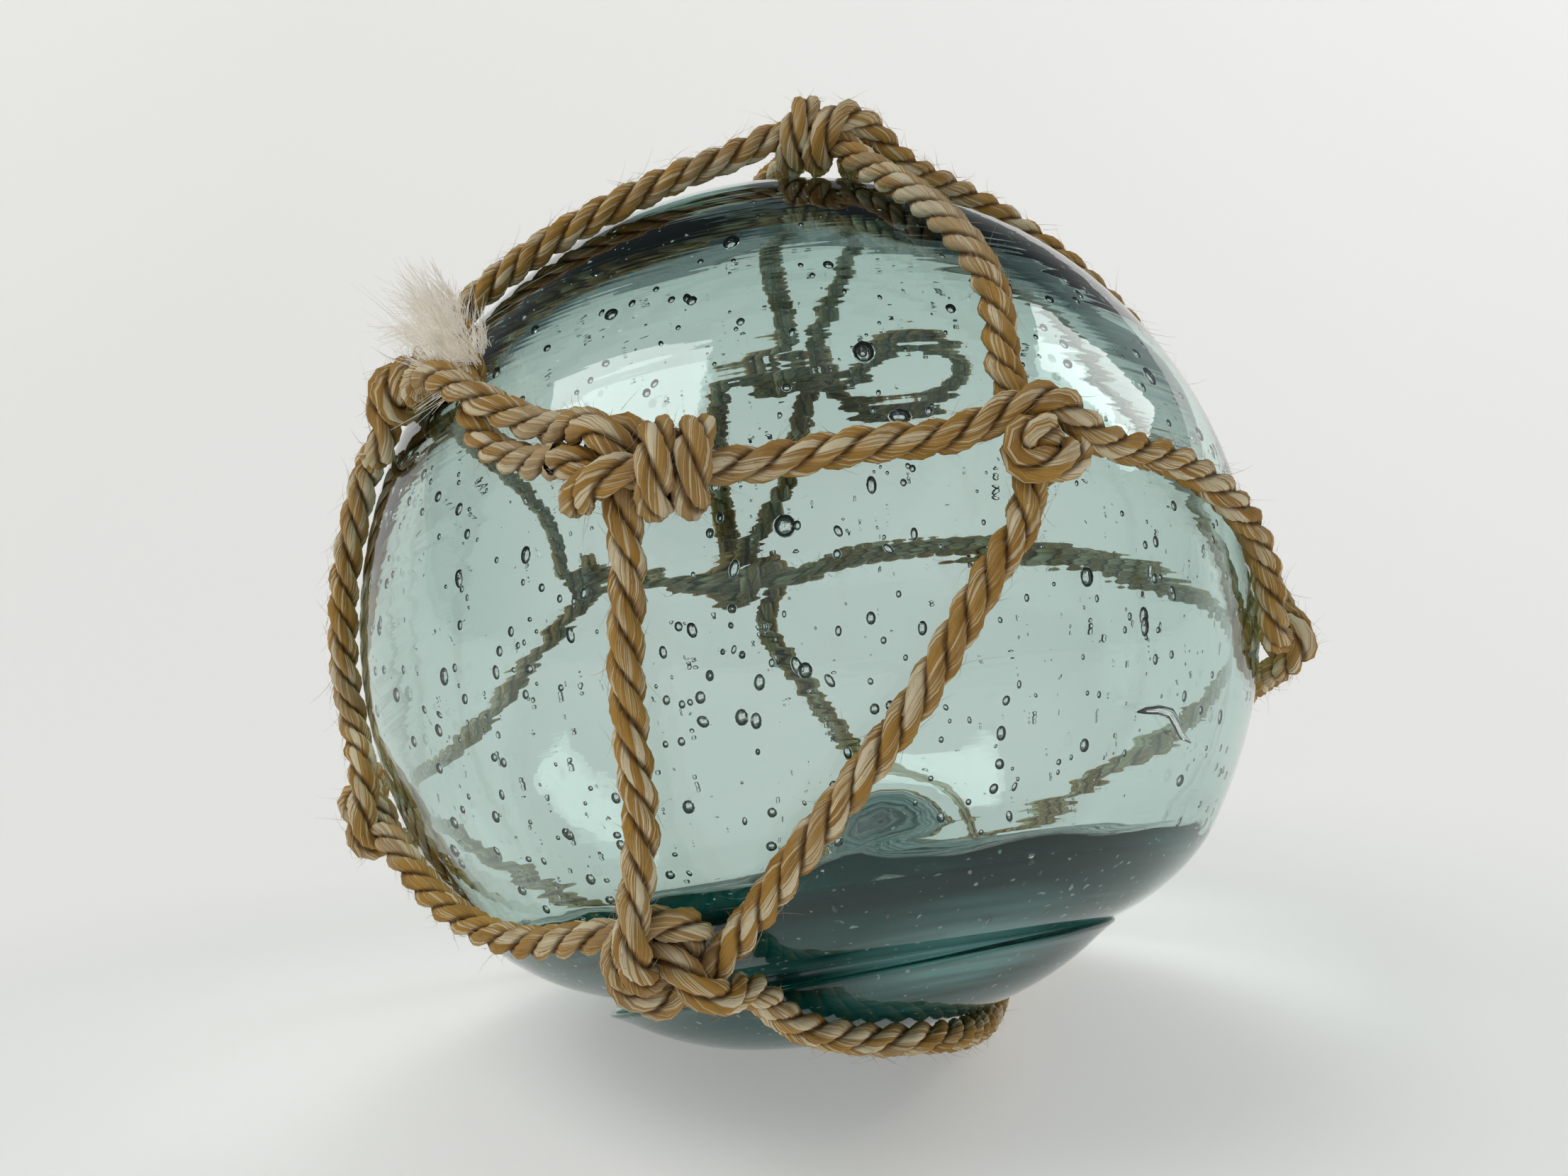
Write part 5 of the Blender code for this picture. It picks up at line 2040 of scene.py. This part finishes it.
@dataclass(frozen=True)
class Softbox:
    """A soft rectangular light that faces the ball."""

    name: str
    # The direction from the ball to the light, and its distance
    way: Triple
    distance: float
    # Its width and height, its power in watts, and its turn about its own direction in degrees
    size: Pair
    power: float
    roll: float = 0.0

    def build(self) -> None:
        """Sets up the light."""
        data = bpy.data.lights.new(self.name, "AREA")
        data.shape = "RECTANGLE"
        data.size, data.size_y = self.size
        data.energy = self.power
        made = bpy.data.objects.new(self.name, data)
        away = Vector(self.way).normalized()
        made.location = Vector(FORM.centre) + away * self.distance
        facing = away.to_track_quat("Z", "Y") @ Quaternion((0, 0, 1), math.radians(self.roll))
        made.rotation_euler = facing.to_euler()
        bpy.context.scene.collection.objects.link(made)


@dataclass(frozen=True)
class Studio:
    """The camera, the lights, the pale floor with its painted shade and glow, and the surroundings."""

    windows: tuple[Softbox, ...] = (
        Softbox("window_left", (-0.60, -0.23, 0.765), 1.2, (0.72, 0.54), 5.6, 45),
        Softbox("window_right", (0.75, 0.273, 0.602), 1.2, (0.40, 0.50), 2.5),
    )
    clip_start: float = 0.01

    # The room is light at its walls, and darker overhead and behind
    room_left: Colour = (0.56, 0.61, 0.61)
    room_right: Colour = (0.95, 0.97, 0.97)
    room_reach: float = 0.8
    ceiling: Colour = (0.17, 0.225, 0.235)
    overhead: Pair = (0.38, 0.6)
    behind: Pair = (-0.3, 0.1)
    strength: float = 0.335

    # The paper, with painted shade that darkens it towards the left, and a painted glow that lightens
    # the shadows on it
    paper_painted_shade_left: Colour = (0.775, 0.765, 0.742)
    paper_painted_light_right: Colour = (0.86, 0.852, 0.832)
    paper_reach: float = 0.22
    painted_glow: float = 0.365
    roughness: float = 0.7
    specular: float = 0.2
    half_width: float = 1.6
    front_edge: float = -1.2
    sweep_start: float = 0.055
    sweep_radius: float = 0.55
    sweep_turn: float = 66
    sweep_steps: int = 17

    def camera(self) -> None:
        """Sets up the camera at the photo's angle."""
        data = bpy.data.cameras.new("camera")
        data.lens = VIEW.lens
        data.sensor_width = VIEW.sensor
        data.clip_start = self.clip_start
        made = bpy.data.objects.new("camera", data)
        made.location = VIEW.place
        made.rotation_euler = (math.radians(90 - VIEW.pitch), 0, 0)
        bpy.context.scene.collection.objects.link(made)
        bpy.context.scene.camera = made

    def lights(self) -> None:
        """Sets up the windows of light and the room."""
        for window in self.windows:
            window.build()
        world = bpy.data.worlds.new("surroundings")
        world.use_nodes = True
        graph = Graph(world.node_tree)
        x, y, z = graph.axes(graph.add("ShaderNodeTexCoord").outputs["Generated"])
        dark = graph.math("MULTIPLY", graph.ramp(z, *self.overhead), graph.ramp(y, *self.behind))
        side = graph.ramp(x, -self.room_reach, self.room_reach)
        room = graph.mix(side, self.room_left, self.room_right)
        graph.feed(world.node_tree.nodes["Background"],
                   {"Color": graph.mix(dark, room, self.ceiling), "Strength": self.strength})
        bpy.context.scene.world = world

    def stage(self) -> None:
        """Lays the pale paper, which is flat under the ball and rises behind it."""
        turn = np.radians(np.linspace(0, self.sweep_turn, self.sweep_steps))
        sweep = np.stack([self.sweep_start + self.sweep_radius * np.sin(turn),
                          self.sweep_radius * (1 - np.cos(turn))], 1)
        line = np.vstack([[[self.front_edge, 0]], sweep])
        wide = np.array([-self.half_width, self.half_width])
        points = np.array([(x, y, z) for y, z in line for x in wide])
        faces = np.array([(i * 2, i * 2 + 1, i * 2 + 3, i * 2 + 2) for i in range(len(line) - 1)])
        made = new_mesh_object("floor", points, faces)
        look, graph, shader, places = new_material("pale_paper")
        # Painted shade and light: the paper is darker towards the left and lighter towards the right,
        # and it glows
        share = graph.ramp(graph.axes(places)[0], -self.paper_reach, self.paper_reach)
        colour = graph.mix(share, self.paper_painted_shade_left, self.paper_painted_light_right)
        graph.feed(shader, {"Base Color": colour, "Roughness": self.roughness,
                            "Specular IOR Level": self.specular, "Emission Color": colour,
                            "Emission Strength": self.painted_glow})
        made.data.materials.append(look)


def report(piece: Piece) -> None:
    """Logs how many triangles a piece has."""
    count = sum(len(p.vertices) - 2 for p in piece.data.polygons)
    LOG.info("%s: %d triangles", piece.name, count)


def main() -> None:
    """Builds the pieces, the light and the camera."""
    logging.basicConfig(level=logging.INFO, format="%(message)s")
    scene = bpy.context.scene
    scene.view_settings.view_transform = "Standard"
    streaks = StreakGroup().build()
    ball = GlassBall()
    glass = ball.build(Bubbles())
    glass.data.materials.append(GlassFinish().build(streaks))
    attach(glass, "root")
    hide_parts("glass_float")
    report(glass)

    core = SealCore().build(ball)
    core.data.materials.append(SealFinish().build(streaks))
    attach(core, "root")
    report(core)

    fibre = FibreGroup().build()
    net = Netting()
    net.settle()
    laid = net.build()
    laid.data.materials.append(CordFinish("laid_cord").build(fibre))
    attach(laid, "root")
    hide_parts(*[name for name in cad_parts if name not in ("glass_float", LOOSE_NODE)])
    report(laid)

    fuzz = net.fuzz()
    loose = FibreFinish("loose_fibre", (0.62, 0.48, 0.28), (0.34, 0.2, 0.08))
    fuzz.data.materials.append(loose.build())
    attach(fuzz, "root")
    report(fuzz)

    frayed = FrayedEnd()
    end = frayed.strands(net.loose_end()[1])
    end.data.materials.append(CordFinish("frayed_laid_cord", wear=0.8).build(fibre))
    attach(end, "root")
    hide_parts(LOOSE_NODE)
    report(end)
    tuft = frayed.tuft()
    # The pale tuft is given a painted glow
    pale = FibreFinish("pale_fibre", (0.95, 0.91, 0.83), (0.82, 0.75, 0.63), painted_glow=0.16)
    tuft.data.materials.append(pale.build())
    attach(tuft, "root")
    report(tuft)

    studio = Studio()
    studio.stage()
    studio.lights()
    studio.camera()


if __name__ == "__main__":
    main()
